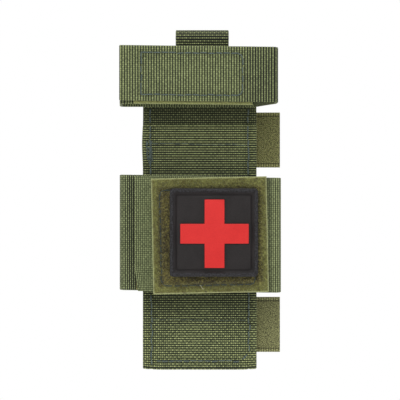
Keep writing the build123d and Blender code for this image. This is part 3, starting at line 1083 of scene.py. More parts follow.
@dataclass(frozen=True)
class WebbingFinish(Finish):
    """Ribbed nylon webbing: light crowns on each rib and dark gaps between.

    Attributes:
        gap: Colour deep between ribs, painted shade for the grooves.
        shade: Colour on the flank of a rib.
        body: Colour of the yarn.
        crown: Colour where a warp end crosses over, lighter partly from wear and partly as painted highlight.
        crossing: How much a warp end stands out on its rib.
        closeness: How narrow the crest of a rib is.
        opening: How much narrower it is where the ribs stand apart.
        ties: How light the warp is in the gap between ribs.
    """

    gap: Colour = tone(12, 15, 9)
    shade: Colour = tone(42, 48, 28)
    body: Colour = tone(78, 85, 54)
    crown: Colour = tone(140, 148, 100)
    crossing: float = 0.3
    closeness: float = 1.2
    opening: float = 1.8
    ties: float = 0.2

    def make(self, tree: Tree) -> None:
        """Build the weave.

        Args:
            tree: The material to fill.
        """
        along, over = tree.weave()
        spread = tree.value("spread")
        row = tree.math("FLOOR", along)
        rib = tree.sine(tree.times(tree.math("FRACT", along), math.pi))
        power = tree.plus(tree.times(spread, self.opening), self.closeness)
        rib = tree.math("POWER", rib, power)
        columns = tree.math("COSINE", tree.times(over, 2 * math.pi))
        pairs = tree.math("COSINE", tree.times(tree.plus(over, row), math.pi))
        cross = tree.plus(tree.times(columns, 0.3), tree.times(pairs, 0.2))
        cross = tree.plus(cross, 0.5)
        lift = tree.plus(tree.times(cross, self.crossing), 1 - self.crossing)
        ties = tree.times(tree.plus(columns, 1.0), self.ties / 2)
        ties = tree.times(ties, tree.minus(1.0, spread))
        between = tree.times(tree.minus(1.0, rib), ties)
        height = tree.plus(tree.times(rib, lift), between)
        dashes = tree.random(tree.join(row, tree.math("FLOOR", tree.plus(over, 0.5))))
        strands = tree.noise(tree.join(tree.times(along, 2.5), tree.times(over, 9.0)), 1.0, 3.0, 0.7)
        flat = tree.join(along, over)
        uneven = tree.noise(flat, 0.45, 2.0)
        slow = tree.noise(flat, 0.06, 3.0)
        level = height
        for part, share in ((strands, 0.36), (dashes, 0.12), (uneven, 0.1), (slow, 0.14)):
            level = tree.plus(level, tree.times(tree.minus(part, 0.5), share))
        # Real wear at selvedges and sealed ends lightens the colour, and so do the lightened stretches, painted
        # light on the middle band.
        level = tree.plus(level, tree.times(tree.value("worn"), 0.2), True)
        # The colour runs by rib height from the gap colour in the grooves, painted shade, to the crown colour
        # on the crests, partly painted highlight.
        colour = tree.ramp(level, (0.03, self.gap), (0.34, self.shade), (0.62, self.body), (0.98, self.crown))
        # Painted shade: marked webbing is pulled toward the gap colour.
        tree.paint(tree.blend(tree.times(tree.value("dull"), 0.4), colour, self.gap))
        tree.bump(tree.plus(height, tree.times(strands, 0.25)), 0.25 * MM, 0.9)
        rough = tree.plus(tree.times(strands, 0.2), 0.6)
        tree.feed(tree.shader.inputs["Roughness"], rough)
        tree.set(Specular_IOR_Level=0.22, Sheen_Weight=0.08, Sheen_Roughness=0.5)


@dataclass(frozen=True)
class PileFinish(Finish):
    """Brushed loop pile: mottled, darker and browner inside the sewn box as painted shade round the patch,
    greener and flatter outside it.

    Attributes:
        deep: Colour down in the pile inside the sewn box, where the darker colours are painted shade round the
            patch.
        body: Colour of the pile.
        tip: Colour of raised loops.
        flat: Colour of the pile outside the sewn box.
        border: Colour of raised loops outside the sewn box.
        selvedge: Colour of the woven border.
    """

    deep: Colour = tone(34, 28, 10)
    body: Colour = tone(72, 66, 30)
    tip: Colour = tone(122, 115, 62)
    flat: Colour = tone(98, 99, 51)
    border: Colour = tone(127, 130, 73)
    selvedge: Colour = tone(150, 154, 98)

    def make(self, tree: Tree) -> None:
        """Build the pile.

        Args:
            tree: The material to fill.
        """
        at = tree.place()
        tufts = tree.noise(at, 1350.0, 4.0, 0.75)
        clumps = tree.noise(at, 420.0, 3.0, 0.6)
        slow = tree.noise(at, 60.0, 2.0)
        level = tree.times(tufts, 2.3)
        for part, share in ((clumps, 0.6), (slow, 0.4)):
            level = tree.plus(level, tree.times(part, share))
        level = tree.minus(level, 1.23)
        level = tree.minus(level, tree.times(tree.value("pressed"), 0.12))
        # Painted shade: inside the sewn box and a little past it the pile takes the darker, browner colours,
        # standing in for the shade round the patch.
        pile = tree.ramp(level, (0.12, self.deep), (0.45, self.body), (0.85, self.tip))
        outer = tree.ramp(level, (0.12, self.body), (0.5, self.flat), (0.9, self.border))
        pile = tree.blend(tree.value("outside"), pile, outer)
        edge = tree.ramp(tufts, (0.3, self.flat), (0.55, self.selvedge), (0.85, self.border))
        tree.paint(tree.blend(tree.value("grown"), edge, pile))
        tree.bump(tree.plus(tufts, tree.times(clumps, 0.5)), 0.4 * MM, 1.0)
        tree.set(Roughness=0.95, Specular_IOR_Level=0.08, Sheen_Weight=0.2, Sheen_Roughness=0.6)


@dataclass(frozen=True)
class HookBaseFinish(Finish):
    """Woven base of hook tape, with its selvedge and its speckled field.

    Attributes:
        dark: Colour between the yarns.
        body: Colour of the field.
        edge: Colour of the selvedge.
        weft: Distance between its ribs, in millimetres.
        warp: Distance between its warp ends, in millimetres.
        twill: Distance between the field's slanted lines, one way and the other, in millimetres.
        speckling: How strongly its field is mottled.
    """

    dark: Colour = tone(42, 40, 20)
    body: Colour = tone(98, 97, 58)
    edge: Colour = tone(138, 139, 84)
    weft: float = 1.1
    warp: float = 0.6
    twill: tuple[float, float] = (0.62, 0.9)
    speckling: float = 3.2

    def make(self, tree: Tree) -> None:
        """Build the tape's weave.

        Args:
            tree: The material to fill.
        """
        along, over = tree.weave()
        grown = tree.value("grown")
        twill = tree.wave(tree.plus(along, over), self.twill[0])
        rows = tree.wave(tree.minus(along, over), self.twill[1])
        speckle = tree.noise(tree.join(along, over), 1.9, 3.0, 0.75)
        level = tree.plus(tree.times(twill, 0.3), tree.times(rows, 0.2))
        level = tree.plus(level, tree.times(speckle, self.speckling))
        level = tree.minus(level, self.speckling / 2 - 0.25)
        field_colour = tree.ramp(level, (0.22, self.dark), (0.5, self.body), (0.78, self.edge))
        row = tree.math("DIVIDE", along, self.weft)
        ribs = tree.sine(tree.times(tree.math("FRACT", row), math.pi))
        shifted = tree.plus(tree.math("DIVIDE", over, self.warp), tree.math("FLOOR", row))
        ends = tree.math("COSINE", tree.times(shifted, math.pi))
        woven = tree.plus(tree.times(ribs, 0.55), tree.times(ends, 0.14))
        woven = tree.plus(woven, tree.times(speckle, 0.9))
        woven = tree.minus(woven, 0.33)
        plain = tree.ramp(woven, (0.12, self.dark), (0.45, self.body), (0.8, self.edge))
        colour = tree.blend(grown, plain, field_colour)
        # Painted shade: the groove between selvedge and field is pulled toward the dark colour.
        tree.paint(tree.blend(tree.value("groove"), colour, self.dark))
        weave = tree.times(woven, tree.minus(1.0, grown))
        tree.bump(tree.plus(tree.times(level, grown), weave), 0.15 * MM, 0.8)
        tree.set(Roughness=0.7, Specular_IOR_Level=0.25, Sheen_Weight=0.1)


@dataclass(frozen=True)
class BristleFinish(Finish):
    """Nylon of the small hooks.

    Attributes:
        dark: Darker colour of its mottle.
        light: Lighter colour of its mottle.
    """

    dark: Colour = tone(84, 82, 48)
    light: Colour = tone(142, 140, 92)

    def make(self, tree: Tree) -> None:
        """Build the nylon.

        Args:
            tree: The material to fill.
        """
        mottle = tree.noise(tree.place(), 900.0, 1.0)
        tree.paint(tree.ramp(mottle, (0.35, self.dark), (0.65, self.light)))
        tree.bump(mottle, 0.03 * MM, 0.5)
        tree.set(Roughness=0.42, Specular_IOR_Level=0.45)


@dataclass(frozen=True)
class ThreadFinish(Finish):
    """Twisted sewing thread.

    Attributes:
        dark: Colour between the plies.
        light: Colour on the plies.
    """

    dark: Colour = tone(38, 48, 45)
    light: Colour = tone(84, 98, 92)

    def make(self, tree: Tree) -> None:
        """Build the twist.

        Args:
            tree: The material to fill.
        """
        along, over = tree.weave()
        ply = tree.wave(tree.plus(tree.times(along, 2.2), over))
        fuzz = tree.noise(tree.place(), 2600.0, 2.0)
        level = tree.plus(tree.times(ply, 0.7), tree.times(fuzz, 0.4))
        tree.paint(tree.ramp(level, (0.1, self.dark), (0.9, self.light)))
        tree.bump(ply, 0.06 * MM, 0.8)
        tree.set(Roughness=0.6, Specular_IOR_Level=0.35, Sheen_Weight=0.1)


@dataclass(frozen=True)
class RubberFinish(Finish):
    """Soft moulded rubber with a fine grain.

    Attributes:
        low: Colour in the grain.
        high: Colour on top.
        grain: Size of the grain, as marks per metre.
        depth: Depth of the grain.
        rough: Roughness of the surface.
        gloss: Strength of its reflections.
        speckle: Colour of the raised specks on a rim.
    """

    low: Colour = tone(20, 17, 17)
    high: Colour = tone(38, 34, 34)
    grain: float = 1900.0
    depth: float = 0.05 * MM
    rough: float = 0.62
    gloss: float = 0.2
    speckle: Colour = tone(48, 48, 51)

    def make(self, tree: Tree) -> None:
        """Build the grain.

        Args:
            tree: The material to fill.
        """
        at = tree.place()
        fine = tree.noise(at, self.grain, 3.0, 0.6)
        slow = tree.noise(at, 120.0, 2.0)
        level = tree.plus(tree.times(fine, 0.6), tree.times(slow, 0.4))
        colour = tree.ramp(level, (0.3, self.low), (0.7, self.high))
        rim = tree.value("rim")
        specks = tree.noise(at, 1500.0, 3.0, 0.7)
        raised = tree.ramp(specks, (0.42, self.low), (0.62, self.speckle))
        tree.paint(tree.blend(rim, colour, raised))
        coarse = tree.times(tree.times(specks, rim), 3.0)
        tree.bump(tree.plus(fine, coarse), self.depth, 0.7)
        rough = tree.plus(tree.times(fine, 0.15), self.rough - 0.07)
        tree.feed(tree.shader.inputs["Roughness"], rough)
        tree.set(Specular_IOR_Level=self.gloss)


@dataclass(frozen=True)
class FloorFinish(Finish):
    """Plain pale studio floor."""

    def make(self, tree: Tree) -> None:
        """Build the floor's paint.

        Args:
            tree: The material to fill.
        """
        mottle = tree.noise(tree.place(), 6.0, 2.0)
        tree.paint(tree.ramp(mottle, (0.3, tone(242, 242, 241)), (0.7, tone(248, 248, 247))))
        tree.set(Roughness=0.9, Specular_IOR_Level=0.1, Emission_Strength=0.3)
        tree.set(Emission_Color=WHITE)


OLIVE = WebbingFinish("olive_webbing")
OLIVE_PANEL = WebbingFinish(
    "olive_panel_webbing", crown=tone(178, 185, 124), crossing=0.48, closeness=1.3, opening=3.6, ties=0.08
)
OLIVE_FINE = WebbingFinish(
    "olive_wide_webbing", crown=tone(148, 156, 112), crossing=0.45, closeness=0.8, ties=0.35
)
OLIVE_FLAP = WebbingFinish(
    "olive_wide_flap", crown=tone(136, 144, 101), crossing=0.38, closeness=1.0, ties=0.3
)
LOOPS = PileFinish("loop_pile")
HOOK_BASE = HookBaseFinish("hook_tape_base")
# A lighter copy of the hook tape for the lower rear strap: painted light, since the upper strap lies in the
# bands' shade and this one doesn't.
LIT_HOOK_BASE = HookBaseFinish(
    "pale_hook_tape_base", tone(46, 45, 26), tone(109, 109, 72), tone(146, 147, 98), speckling=2.6
)
HOOK_NYLON = BristleFinish("hook_nylon")
BLACK_HOOK_BASE = HookBaseFinish("black_hook_base", tone(12, 12, 12), tone(30, 30, 30), tone(44, 44, 44))
BLACK_NYLON = BristleFinish("black_hook_nylon", tone(20, 20, 20), tone(46, 46, 46))
THREAD = ThreadFinish("slate_thread")
DULL_THREAD = ThreadFinish("dull_thread", tone(42, 52, 42), tone(86, 99, 82))
# A darker copy of the slate thread: painted shade for the rows sunk in the pile round the patch.
SHADED_THREAD = ThreadFinish("sunk_thread", tone(20, 28, 26), tone(56, 68, 62))
PALE_THREAD = ThreadFinish("pale_thread", tone(120, 118, 84), tone(196, 194, 156))
BLACK_RUBBER = RubberFinish("black_rubber")
RED_RUBBER = RubberFinish("red_rubber", tone(178, 31, 30), tone(194, 42, 40), 2600.0, 0.012 * MM, 0.6)


# Helpers of the sub-assemblies


def body_of(node: str) -> str:
    """Name of the body that a CAD node belongs to."""
    bodies = frame["record"]["behaviour"]["bodies"]
    return next(body for body, members in bodies.items() if node in members)


def joint(name: str) -> dict:
    """A joint of the frame, by name."""
    return next(j for j in frame["joints"] if j["name"] == name)


def slot_of(node: str) -> str:
    """Material slot of a CAD node, as the record names it."""
    return next(p["material_slot"] for p in frame["record"]["subparts"] if p["node"] == node)


def settle(piece: Piece, node: str, *also: str, ride: bool = True, detail: bool = False) -> None:
    """Tie a piece to the frame.

    Args:
        piece: The piece.
        node: CAD node whose body it takes; its slot is only looked up.
        *also: Other CAD nodes that it replaces.
        ride: Whether it rides on the body, which a piece that bends across a joint doesn't.
        detail: Whether it only goes with the piece that replaces the node.
    """
    if ride:
        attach(piece, body_of(node))
    slot_of(node)
    if not detail:
        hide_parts(node, *also)
    LOG.info("%s: %d points, rides with %s", piece.name, len(piece.data.vertices), body_of(node))


def flat_ribbon(node: str, side: Side, bend: Bend | None = None, sink: float = 0.0) -> Ribbon:
    """A ribbon along X through a flat CAD strip, whose left side faces the way asked.

    Args:
        node: The CAD strip.
        side: Which way its working face looks.
        bend: Gentle deformation.
        sink: Shift of the line away from the working face's back.

    Returns:
        The ribbon, on the strip's back face.
    """
    low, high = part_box(node)
    if side is Side.FRONT:
        points = [(high.x, high.y - sink), (low.x, high.y - sink)]
    else:
        points = [(low.x, low.y + sink), (high.x, low.y + sink)]
    return Ribbon(Path(points, []), Across.UP, low.z, high.z, bend)


# One stitch: slant, length by its CAD block's, and lift, dive at its ends and taper by its radius
STITCH_SKEW, STITCH_STRETCH = 0.05, (1.12, 1.24)
STITCH_LIFT, STITCH_DIVE, STITCH_TAPER = 0.9, 2.4, 0.3
SAME_POINT = 0.005 * MM


@dataclass
class Stitching:
    """Thread that follows a CAD group of stitches.

    Attributes:
        node: The CAD group.
        side: Which way the stitches face.
        bend: Gentle deformation of what they are sewn to.
        radius: Radius of the thread.
        seed: Draw of their unevenness.
        finish: Finish of the thread.
        extra: Ends of further stitches, in front of the same seam.
        wander: How far a stitch strays off its row.
        extra_girth: Girth of the further stitches, as a share of the rest.
        rings: Places along a stitch.
        sides: Places round it.
    """

    node: str
    side: Side
    bend: Bend | None = None
    radius: float = 0.26 * MM
    seed: int = 11
    finish: Finish = THREAD
    extra: Sequence[tuple[Array, Array]] = ()
    wander: float = 0.1 * MM
    extra_girth: float = 1.0
    rings: int = 9
    sides: int = 8

    def _stitches(self) -> list[tuple[Array, Array, float]]:
        """Find the stitches of the CAD group.

        Returns:
            Middle, direction and length of each.
        """
        mesh = frame["nodes"][self.node].data
        points = np.array([v.co for v in mesh.vertices], float).reshape(-1, 3)
        _, same = np.unique(np.round(points / SAME_POINT).astype(int), axis=0, return_inverse=True)
        same = same.ravel()
        first, second = same[np.array([edge.vertices[:] for edge in mesh.edges])].T
        groups, before = np.arange(same.max() + 1), None
        while before is None or (groups != before).any():
            before = groups.copy()
            low = np.minimum(groups[first], groups[second])
            np.minimum.at(groups, first, low)
            np.minimum.at(groups, second, low)
        found = []
        for group in np.unique(groups):
            block = points[groups[same] == group]
            middle = (block.min(0) + block.max(0)) / 2
            _, _, axes = np.linalg.svd(block - block.mean(0))
            run = (block - middle) @ axes[0]
            found.append((middle, axes[0], float(run.max() - run.min())))
        return sorted(found, key=lambda row: tuple(np.round(row[0], 5)))

    def build(self) -> Piece:
        """Sew the rows.

        Returns:
            The thread, as one piece.
        """
        draw = np.random.default_rng(self.seed)
        maker = MeshMaker()
        out = np.array([0.0, self.side.value, 0.0])
        t = np.linspace(-1, 1, self.rings)
        turns = np.linspace(0, 2 * math.pi, self.sides, endpoint=False)
        faces = grid_faces(self.rings, self.sides, True)
        around = np.linspace(0, 1, self.sides + 1)
        rows = [(*row, 1.0) for row in self._stitches()]
        for start, end in self.extra:
            size = float(np.linalg.norm(end - start))
            rows.append(((start + end) / 2, (end - start) / size, size, self.extra_girth))
        for middle, run, length, share in rows:
            side = np.cross(out, run)
            wiggle = draw.normal(0, self.wander)
            skew = draw.normal(0, STITCH_SKEW)
            half = length / 2 * draw.uniform(*STITCH_STRETCH)
            arch = self.radius * (STITCH_LIFT - STITCH_DIVE * np.abs(t) ** 9)
            line = middle + np.outer(t * half, run + side * skew) + np.outer(arch, out) + side * wiggle
            girth = self.radius * share * (1 - STITCH_TAPER * np.abs(t) ** 4)
            ring = np.cos(turns)[None, :, None] * side + np.sin(turns)[None, :, None] * out
            points = (line[:, None, :] + girth[:, None, None] * ring).reshape(-1, 3)
            maker.add(self.bend(points) if self.bend else points, faces, grid_corners(t * half / MM, around))
        piece = maker.build(self.node + "_thread", self.finish.material())
        settle(piece, self.node)
        return piece


# Sub-assemblies

TAPE_SEWN_INSET = 2.0 * MM
TAPE_SINK, MESHED_HOOK = 0.24 * MM, 0.42 * MM  # of hook tape that lies on loops


@dataclass
class BackPanel:
    """The doubled wide webbing that everything is sewn to.

    Attributes:
        bend: Its unevenness.
        rib: Distance between its ribs.
        relief: Depth of the grooves between them.
        corner: Radius of its cut corners.
        side_rows: Places of the rows of thread along its sides.
        left_slant: How far right the left row is at its top, and how much further at its foot.
        right_slant: The same for the right row.
        bottom_row: Height of the row along its foot.
        corner_lift: How far its lower corners are raised.
        longer: How far its fold hangs below the CAD's.
        open_runs: Stretches of height where its ribs stand apart.
        lightened_run: Stretch of height where it is made paler.
        bulge: How far its left edge stands out beside the back tack.
        bulge_height: Height of that place.
        bulge_reach: Half length of that place.
        wider: How much further its left and right edges reach than the CAD's.
        front_top: Height of the front layer's cut end.
        tack_x: Limits of the back tack across.
        tack_z: Its limits in height.
    """

    bend: Flex = field(default_factory=lambda: Flex(sway=0.1 * MM, seed=4))
    rib: float = 1.04 * MM
    relief: float = 0.26 * MM
    corner: float = 1.1 * MM
    side_rows: tuple[float, float] = (-21.9 * MM, 22.1 * MM)
    left_slant: tuple[float, float] = (0.2 * MM, 0.8 * MM)
    right_slant: tuple[float, float] = (-0.43 * MM, 0.5 * MM)
    bottom_row: float = 4.3 * MM
    corner_lift: float = 0.45 * MM
    longer: float = 0.6 * MM
    open_runs: tuple[Stretch, ...] = ((-12.0 * MM, 36.0 * MM, 0.9), (25.0 * MM, 14.0 * MM, 0.6))
    lightened_run: Stretch = (25.0 * MM, 13.0 * MM, 0.75)
    bulge: float = 0.4 * MM
    bulge_height: float = 25.0 * MM
    bulge_reach: float = 7.0 * MM
    wider: tuple[float, float] = (0.35 * MM, 0.1 * MM)
    front_top: float = 33.9 * MM
    tack_x: tuple[float, float] = (-24.1 * MM, -21.8 * MM)
    tack_z: tuple[float, float] = (15.8 * MM, 27.6 * MM)

    def _shape(self, points: Array) -> Array:
        """Soften the panel: a curved lower edge and a bulge beside the back tack.

        Args:
            points: Points of the panel.

        Returns:
            The moved points.
        """
        low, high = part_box("back_panel")
        half = (high.x - low.x) / 2
        moved = self.bend(points)
        x, z = points[..., 0], points[..., 2]
        near = np.exp(-((z - low.z) / (5 * MM)) ** 2)
        moved[..., 2] += self.corner_lift * np.abs(x / half) ** 10 * near
        lump = np.exp(-(((z - self.bulge_height) / self.bulge_reach) ** 2)) * smooth(-x, 0.75 * half, half)
        moved[..., 0] -= self.bulge * lump
        return moved

    def _sewn(self, points: Array) -> Array:
        """Follow the panel, with the two side rows a little out of square.

        Args:
            points: Points of the thread.

        Returns:
            The moved points.
        """
        low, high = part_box("back_panel")
        moved = self._shape(points)
        x, z = points[..., 0], points[..., 2]
        down = (high.z - z) / (high.z - low.z)
        left = self.left_slant[0] + self.left_slant[1] * down
        right = self.right_slant[0] + self.right_slant[1] * down
        moved[..., 0] += np.where(x < 0, left, right) * smooth(np.abs(x), 17 * MM, 21 * MM)
        return moved

    def build(self) -> Piece:
        """Weave the folded panel.

        Returns:
            The panel.
        """
        low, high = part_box("back_panel")
        foot = low.z - self.longer
        half = WEBBING_THICKNESS / 2
        rear, front = high.y - half, low.y + half
        points = [(rear, high.z), (rear, foot + half), (front, foot + half), (front, self.front_top)]
        path = Path(points, [(rear - front) / 2] * 2)
        ribbon = Ribbon(path, Across.SIDE, low.x - self.wider[0], high.x + self.wider[1], self._shape)
        turn = high.z - foot
        seams = [Seam((turn, path.length), (x, x)) for x in self.side_rows]
        bottom = turn + self.bottom_row
        seams.append(Seam((bottom, bottom), (self.side_rows[0], self.side_rows[1] - 3 * MM)))
        parted, lightened = (
            [(turn + z - foot, reach, strength) for z, reach, strength in runs]
            for runs in (self.open_runs, [self.lightened_run])
        )
        # The rear layer above the front layer's cut end is marked for painted shade, for the top band's shadow
        # on it.
        strap = Strap(
            ribbon, WEBBING_THICKNESS, self.rib, relief=self.relief, seams=seams, corner=self.corner,
            parted=parted, lightened=lightened, painted_shade_until=high.z - self.front_top, stretching=0.2,
        )
        return strap.build("back_panel_webbing", OLIVE_PANEL.material())

    def _tack(self) -> list[tuple[Array, Array]]:
        """Build up thread where the rows start and end, beside the left edge.

        Returns:
            Ends of each stitch.
        """
        draw = np.random.default_rng(24)
        level = float(np.mean([p.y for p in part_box("upper_cross_stitching")]))
        stitches = []
        for column in np.linspace(*self.tack_x, 6):
            z = self.tack_z[1] - draw.uniform(0, 4 * MM)
            while z > self.tack_z[0] + draw.uniform(0, 5 * MM):
                length = draw.uniform(0.9, 2.0) * MM
                slant = draw.normal(0, 0.35 * MM)
                stitches.append((np.array([column, level, z]), np.array([column + slant, level, z - length])))
                z -= length + draw.uniform(0.1, 0.9) * MM
        return stitches

    def dress(self) -> None:
        """Tie the panel to the frame and sew its rows."""
        settle(self.build(), "back_panel")
        rows = Stitching("panel_stitching", Side.FRONT, self._sewn, 0.32 * MM, 21, extra=self._tack())
        rows.wander, rows.extra_girth = 0.16 * MM, 0.62
        rows.build()
        Stitching("upper_cross_stitching", Side.FRONT, self._shape, 0.2 * MM, 22, DULL_THREAD).build()
        Stitching("lower_cross_stitching", Side.FRONT, self._shape, 0.13 * MM, 23, DULL_THREAD).build()


@dataclass
class TopLoop:
    """The hanging loop of narrow webbing behind the top of the panel.

    Attributes:
        bend: Its unevenness.
        thick: Thickness of its webbing.
        rib: Distance between its ribs.
        relief: Depth of the grooves between them.
        gap: Gap between its two ends.
        split: Height above the panel where the ends part.
        inner_radius: Inner radius of its top.
    """

    bend: Flex = field(default_factory=lambda: Flex(sway=0.05 * MM, seed=6))
    thick: float = WEBBING_THICKNESS
    rib: float = 1.12 * MM
    relief: float = 0.26 * MM
    gap: float = 0.15 * MM
    split: float = 0.6 * MM
    inner_radius: float = 3.0 * MM

    def dress(self) -> None:
        """Weave the loop, tie it to the frame and sew its foot."""
        low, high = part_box("top_loop")
        panel_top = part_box("back_panel")[1].z
        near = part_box("back_panel")[1].y + self.thick / 2
        far = near + self.thick + self.gap
        radius = self.inner_radius + self.thick / 2
        middle = (near + far) / 2
        top = high.z - self.thick / 2
        centre = top - radius
        split = panel_top + self.split
        flare = math.asin((radius - (far - near) / 2) / (centre - split))
        reach = radius / math.cos(flare) + (top - centre) * math.tan(flare)
        points = [
            (near, low.z),
            (near, split),
            (middle - reach, top),
            (middle + reach, top),
            (far, split),
            (far, low.z),
        ]
        path = Path(points, [2 * MM, radius * 0.98, radius * 0.98, 2 * MM])
        ribbon = Ribbon(path, Across.SIDE, low.x, high.x, self.bend)
        parted = [(path.length / 2, path.length, 0.45)]
        strap = Strap(ribbon, self.thick, self.rib, relief=self.relief, parted=parted)
        settle(strap.build("top_loop_webbing", OLIVE_PANEL.material()), "top_loop")
        Stitching("top_loop_stitching", Side.REAR, self.bend, seed=31).build()


@dataclass
class Band:
    """A band: its sewn run, its flap, and the hook and loop tapes between them.

    Attributes:
        name: upper or middle.
        corner: Radius of its turns.
        rib: Distance between its ribs.
        finish: Finish of its webbing.
        tilt: Fall of the flap per metre of X.
        seed: Draw of its unevenness.
        lean: How far out the left turn's back is from its front.
        drop: How far the inner run sags below the flap.
        parted: Stretches of X where the flap's ribs stand apart.
        open_left: The same on the inner run, near the left turn.
        lightened: Stretches of X that are made paler, on the inner run at the left and the flap at the right;
            on the middle band these are painted light on its turned ends.
        clipped: How the flap's end is cut back at its lower edge.
        narrower: How much lower the flap's upper edge is.
        thick: Thickness of its webbing.
        join: Place along X, at the back, where the sewn run and the flap meet.
        bend_reach: How far the flap's bend reaches behind the hinge and in front of it; not used.
        tape_drop: How far the loop tape's lower edge hangs.
        stretching: How much its turns open the ribs.
        flap_finish: Finish of the flap, where it isn't the band's.
        flap_seams: Sewn boxes on the flap, as limits of X and Z.
    """

    name: str
    corner: float
    rib: float
    finish: Finish
    tilt: float
    seed: int
    lean: float
    drop: float = 0.0
    parted: Sequence[Stretch] = ()
    open_left: Sequence[Stretch] = ()
    lightened: Sequence[Stretch] = ()
    clipped: tuple[float, float] = (0.0, 1.0)
    narrower: float = 0.0
    thick: float = WEBBING_THICKNESS
    join: float = 20.0 * MM
    bend_reach: tuple[float, float] = (7.5 * MM, 3.0 * MM)
    tape_drop: float = 0.0
    stretching: float = 1.5
    flap_finish: Finish | None = None
    flap_seams: Sequence[tuple[float, float, float, float]] = ()

    def node(self, part: str) -> str:
        """Name of one of the band's CAD nodes."""
        return f"{self.name}_{part}"

    @property
    def flap_bend(self) -> Flex:
        """Unevenness of the flap and all that is sewn to it."""
        back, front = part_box(self.node("band"))[1].y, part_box(self.node("flap"))[0].y
        return Flex(self.tilt, back, front, sway=0.14 * MM, seed=self.seed)

    @property
    def band_bend(self) -> Flex:
        """Unevenness of the sewn run."""
        low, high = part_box(self.node("band"))
        return Flex(self.tilt, high.y, low.y, self.drop, 0.08 * MM, self.seed + 1)

    def _levels(self) -> tuple[float, float, float]:
        """Centre levels of the inner front run, the back run and the flap."""
        band, flap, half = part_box(self.node("band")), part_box(self.node("flap")), self.thick / 2
        return band[0].y + half, band[1].y - half, flap[0].y + half

    def sewn_run(self) -> Piece:
        """Weave the fixed run: inner front, left turn and back.

        Returns:
            The webbing.
        """
        inner, back, _ = self._levels()
        low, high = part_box(self.node("band"))
        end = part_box(self.node("loop_tape"))[1].x + 0.6 * MM
        left = low.x + self.thick / 2
        points = [(end, inner), (left + self.lean, inner), (left, back), (self.join, back)]
        path = Path(points, [self.corner] * 2)
        ribbon = Ribbon(path, Across.UP, low.z, high.z, self.band_bend)
        parted = [(end - x, reach, strength) for x, reach, strength in self.open_left]
        lightened = [(end - x, reach, strength) for x, reach, strength in self.lightened if x < 0]
        strap = Strap(ribbon, self.thick, self.rib, parted=parted, lightened=lightened)
        return strap.build(self.name + "_band_webbing", self.finish.material())

    def flap(self) -> Piece:
        """Weave the flap with the side of the band that it bends from.

        Returns:
            The webbing, which bends across the hinge.
        """
        _, back, face = self._levels()
        low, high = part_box(self.node("flap"))
        hinge = joint(self.name + "_flap_hinge")["pos_m"]
        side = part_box("back_panel")[1].x
        points = [(self.join, back), (side, back), (hinge[0], hinge[1]), (hinge[0], face), (low.x, face)]
        path = Path(points, [self.corner, self.corner * 2, self.corner])
        ribbon = Ribbon(path, Across.UP, low.z, high.z - self.narrower, self.flap_bend)
        face_run = path.length + low.x
        seams = []
        for x0, x1, z0, z1 in self.flap_seams:
            middle = (low.z + high.z - self.narrower) / 2
            seams += box_seams((face_run - x1, face_run - x0), (z0 - middle, z1 - middle))
        parted = [(face_run - x, reach, strength) for x, reach, strength in self.parted]
        lightened = [(face_run - x, reach, strength) for x, reach, strength in self.lightened if x > 0]
        strap = Strap(
            ribbon, self.thick, self.rib, seams=seams, parted=parted, lightened=lightened,
            clipped=self.clipped, stretching=self.stretching,
        )
        piece = strap.build(self.name + "_flap_webbing", (self.flap_finish or self.finish).material())
        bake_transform(piece)
        return piece

    def sew_box(self, box: tuple[float, float, float, float]) -> None:
        """Sew the box on the flap's face, with square corners at the left and round ones at the right.

        Args:
            box: Limits of X, then of Z.
        """
        node = self.node("flap_stitching")
        level = float(np.mean([p.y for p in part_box(node)]))
        x0, x1, z0, z1 = box
        gap, cut = 2.1 * MM, 0.65 * MM
        lines = []
        for z, up in ((z0, 1.0), (z1, -1.0)):
            lines += [(x0, z, x0, z + up * gap), (x0, z, x0 + gap, z)]
            lines += [(x1 - gap, z, x1 - cut, z + up * cut), (x1 - cut, z + up * cut, x1, z + up * gap)]
        extra = [(np.array([a, level, b]), np.array([c, level, d])) for a, b, c, d in lines]
        Stitching(node, Side.FRONT, self.flap_bend, 0.25 * MM, self.seed + 8, THREAD, extra).build()

    def dress(self) -> None:
        """Make every piece of the band and tie it to the frame."""
        settle(self.sewn_run(), self.node("band"))
        settle(self.flap(), self.node("flap"), ride=False)
        loops = flat_ribbon(self.node("loop_tape"), Side.FRONT, self.band_bend)
        loops.low -= self.tape_drop
        inset, half = TAPE_SEWN_INSET, loops.width / 2
        seams = box_seams((inset, loops.path.length - inset), (-half + inset, half - inset), 0.5 * MM)
        pile = Pile(loops, 0.4 * MM, 0.65 * MM, seams=seams, seed=self.seed + 3)
        settle(pile.build(self.node("loops"), LOOPS.material()), self.node("loop_tape"))
        hooks = flat_ribbon(self.node("hook_tape"), Side.REAR, self.flap_bend, TAPE_SINK)
        tape = HookTape(hooks, seed=self.seed + 4, hook=MESHED_HOOK)
        base, bristles = tape.build(self.node("hooks"), HOOK_BASE.material(), HOOK_NYLON.material())
        settle(base, self.node("hook_tape"))
        settle(bristles, self.node("hook_tape"), detail=True)
        Stitching(self.node("band_stitching"), Side.FRONT, self.band_bend, seed=self.seed + 5).build()
        Stitching(self.node("loop_tape_stitching"), Side.REAR, self.band_bend, seed=self.seed + 6).build()


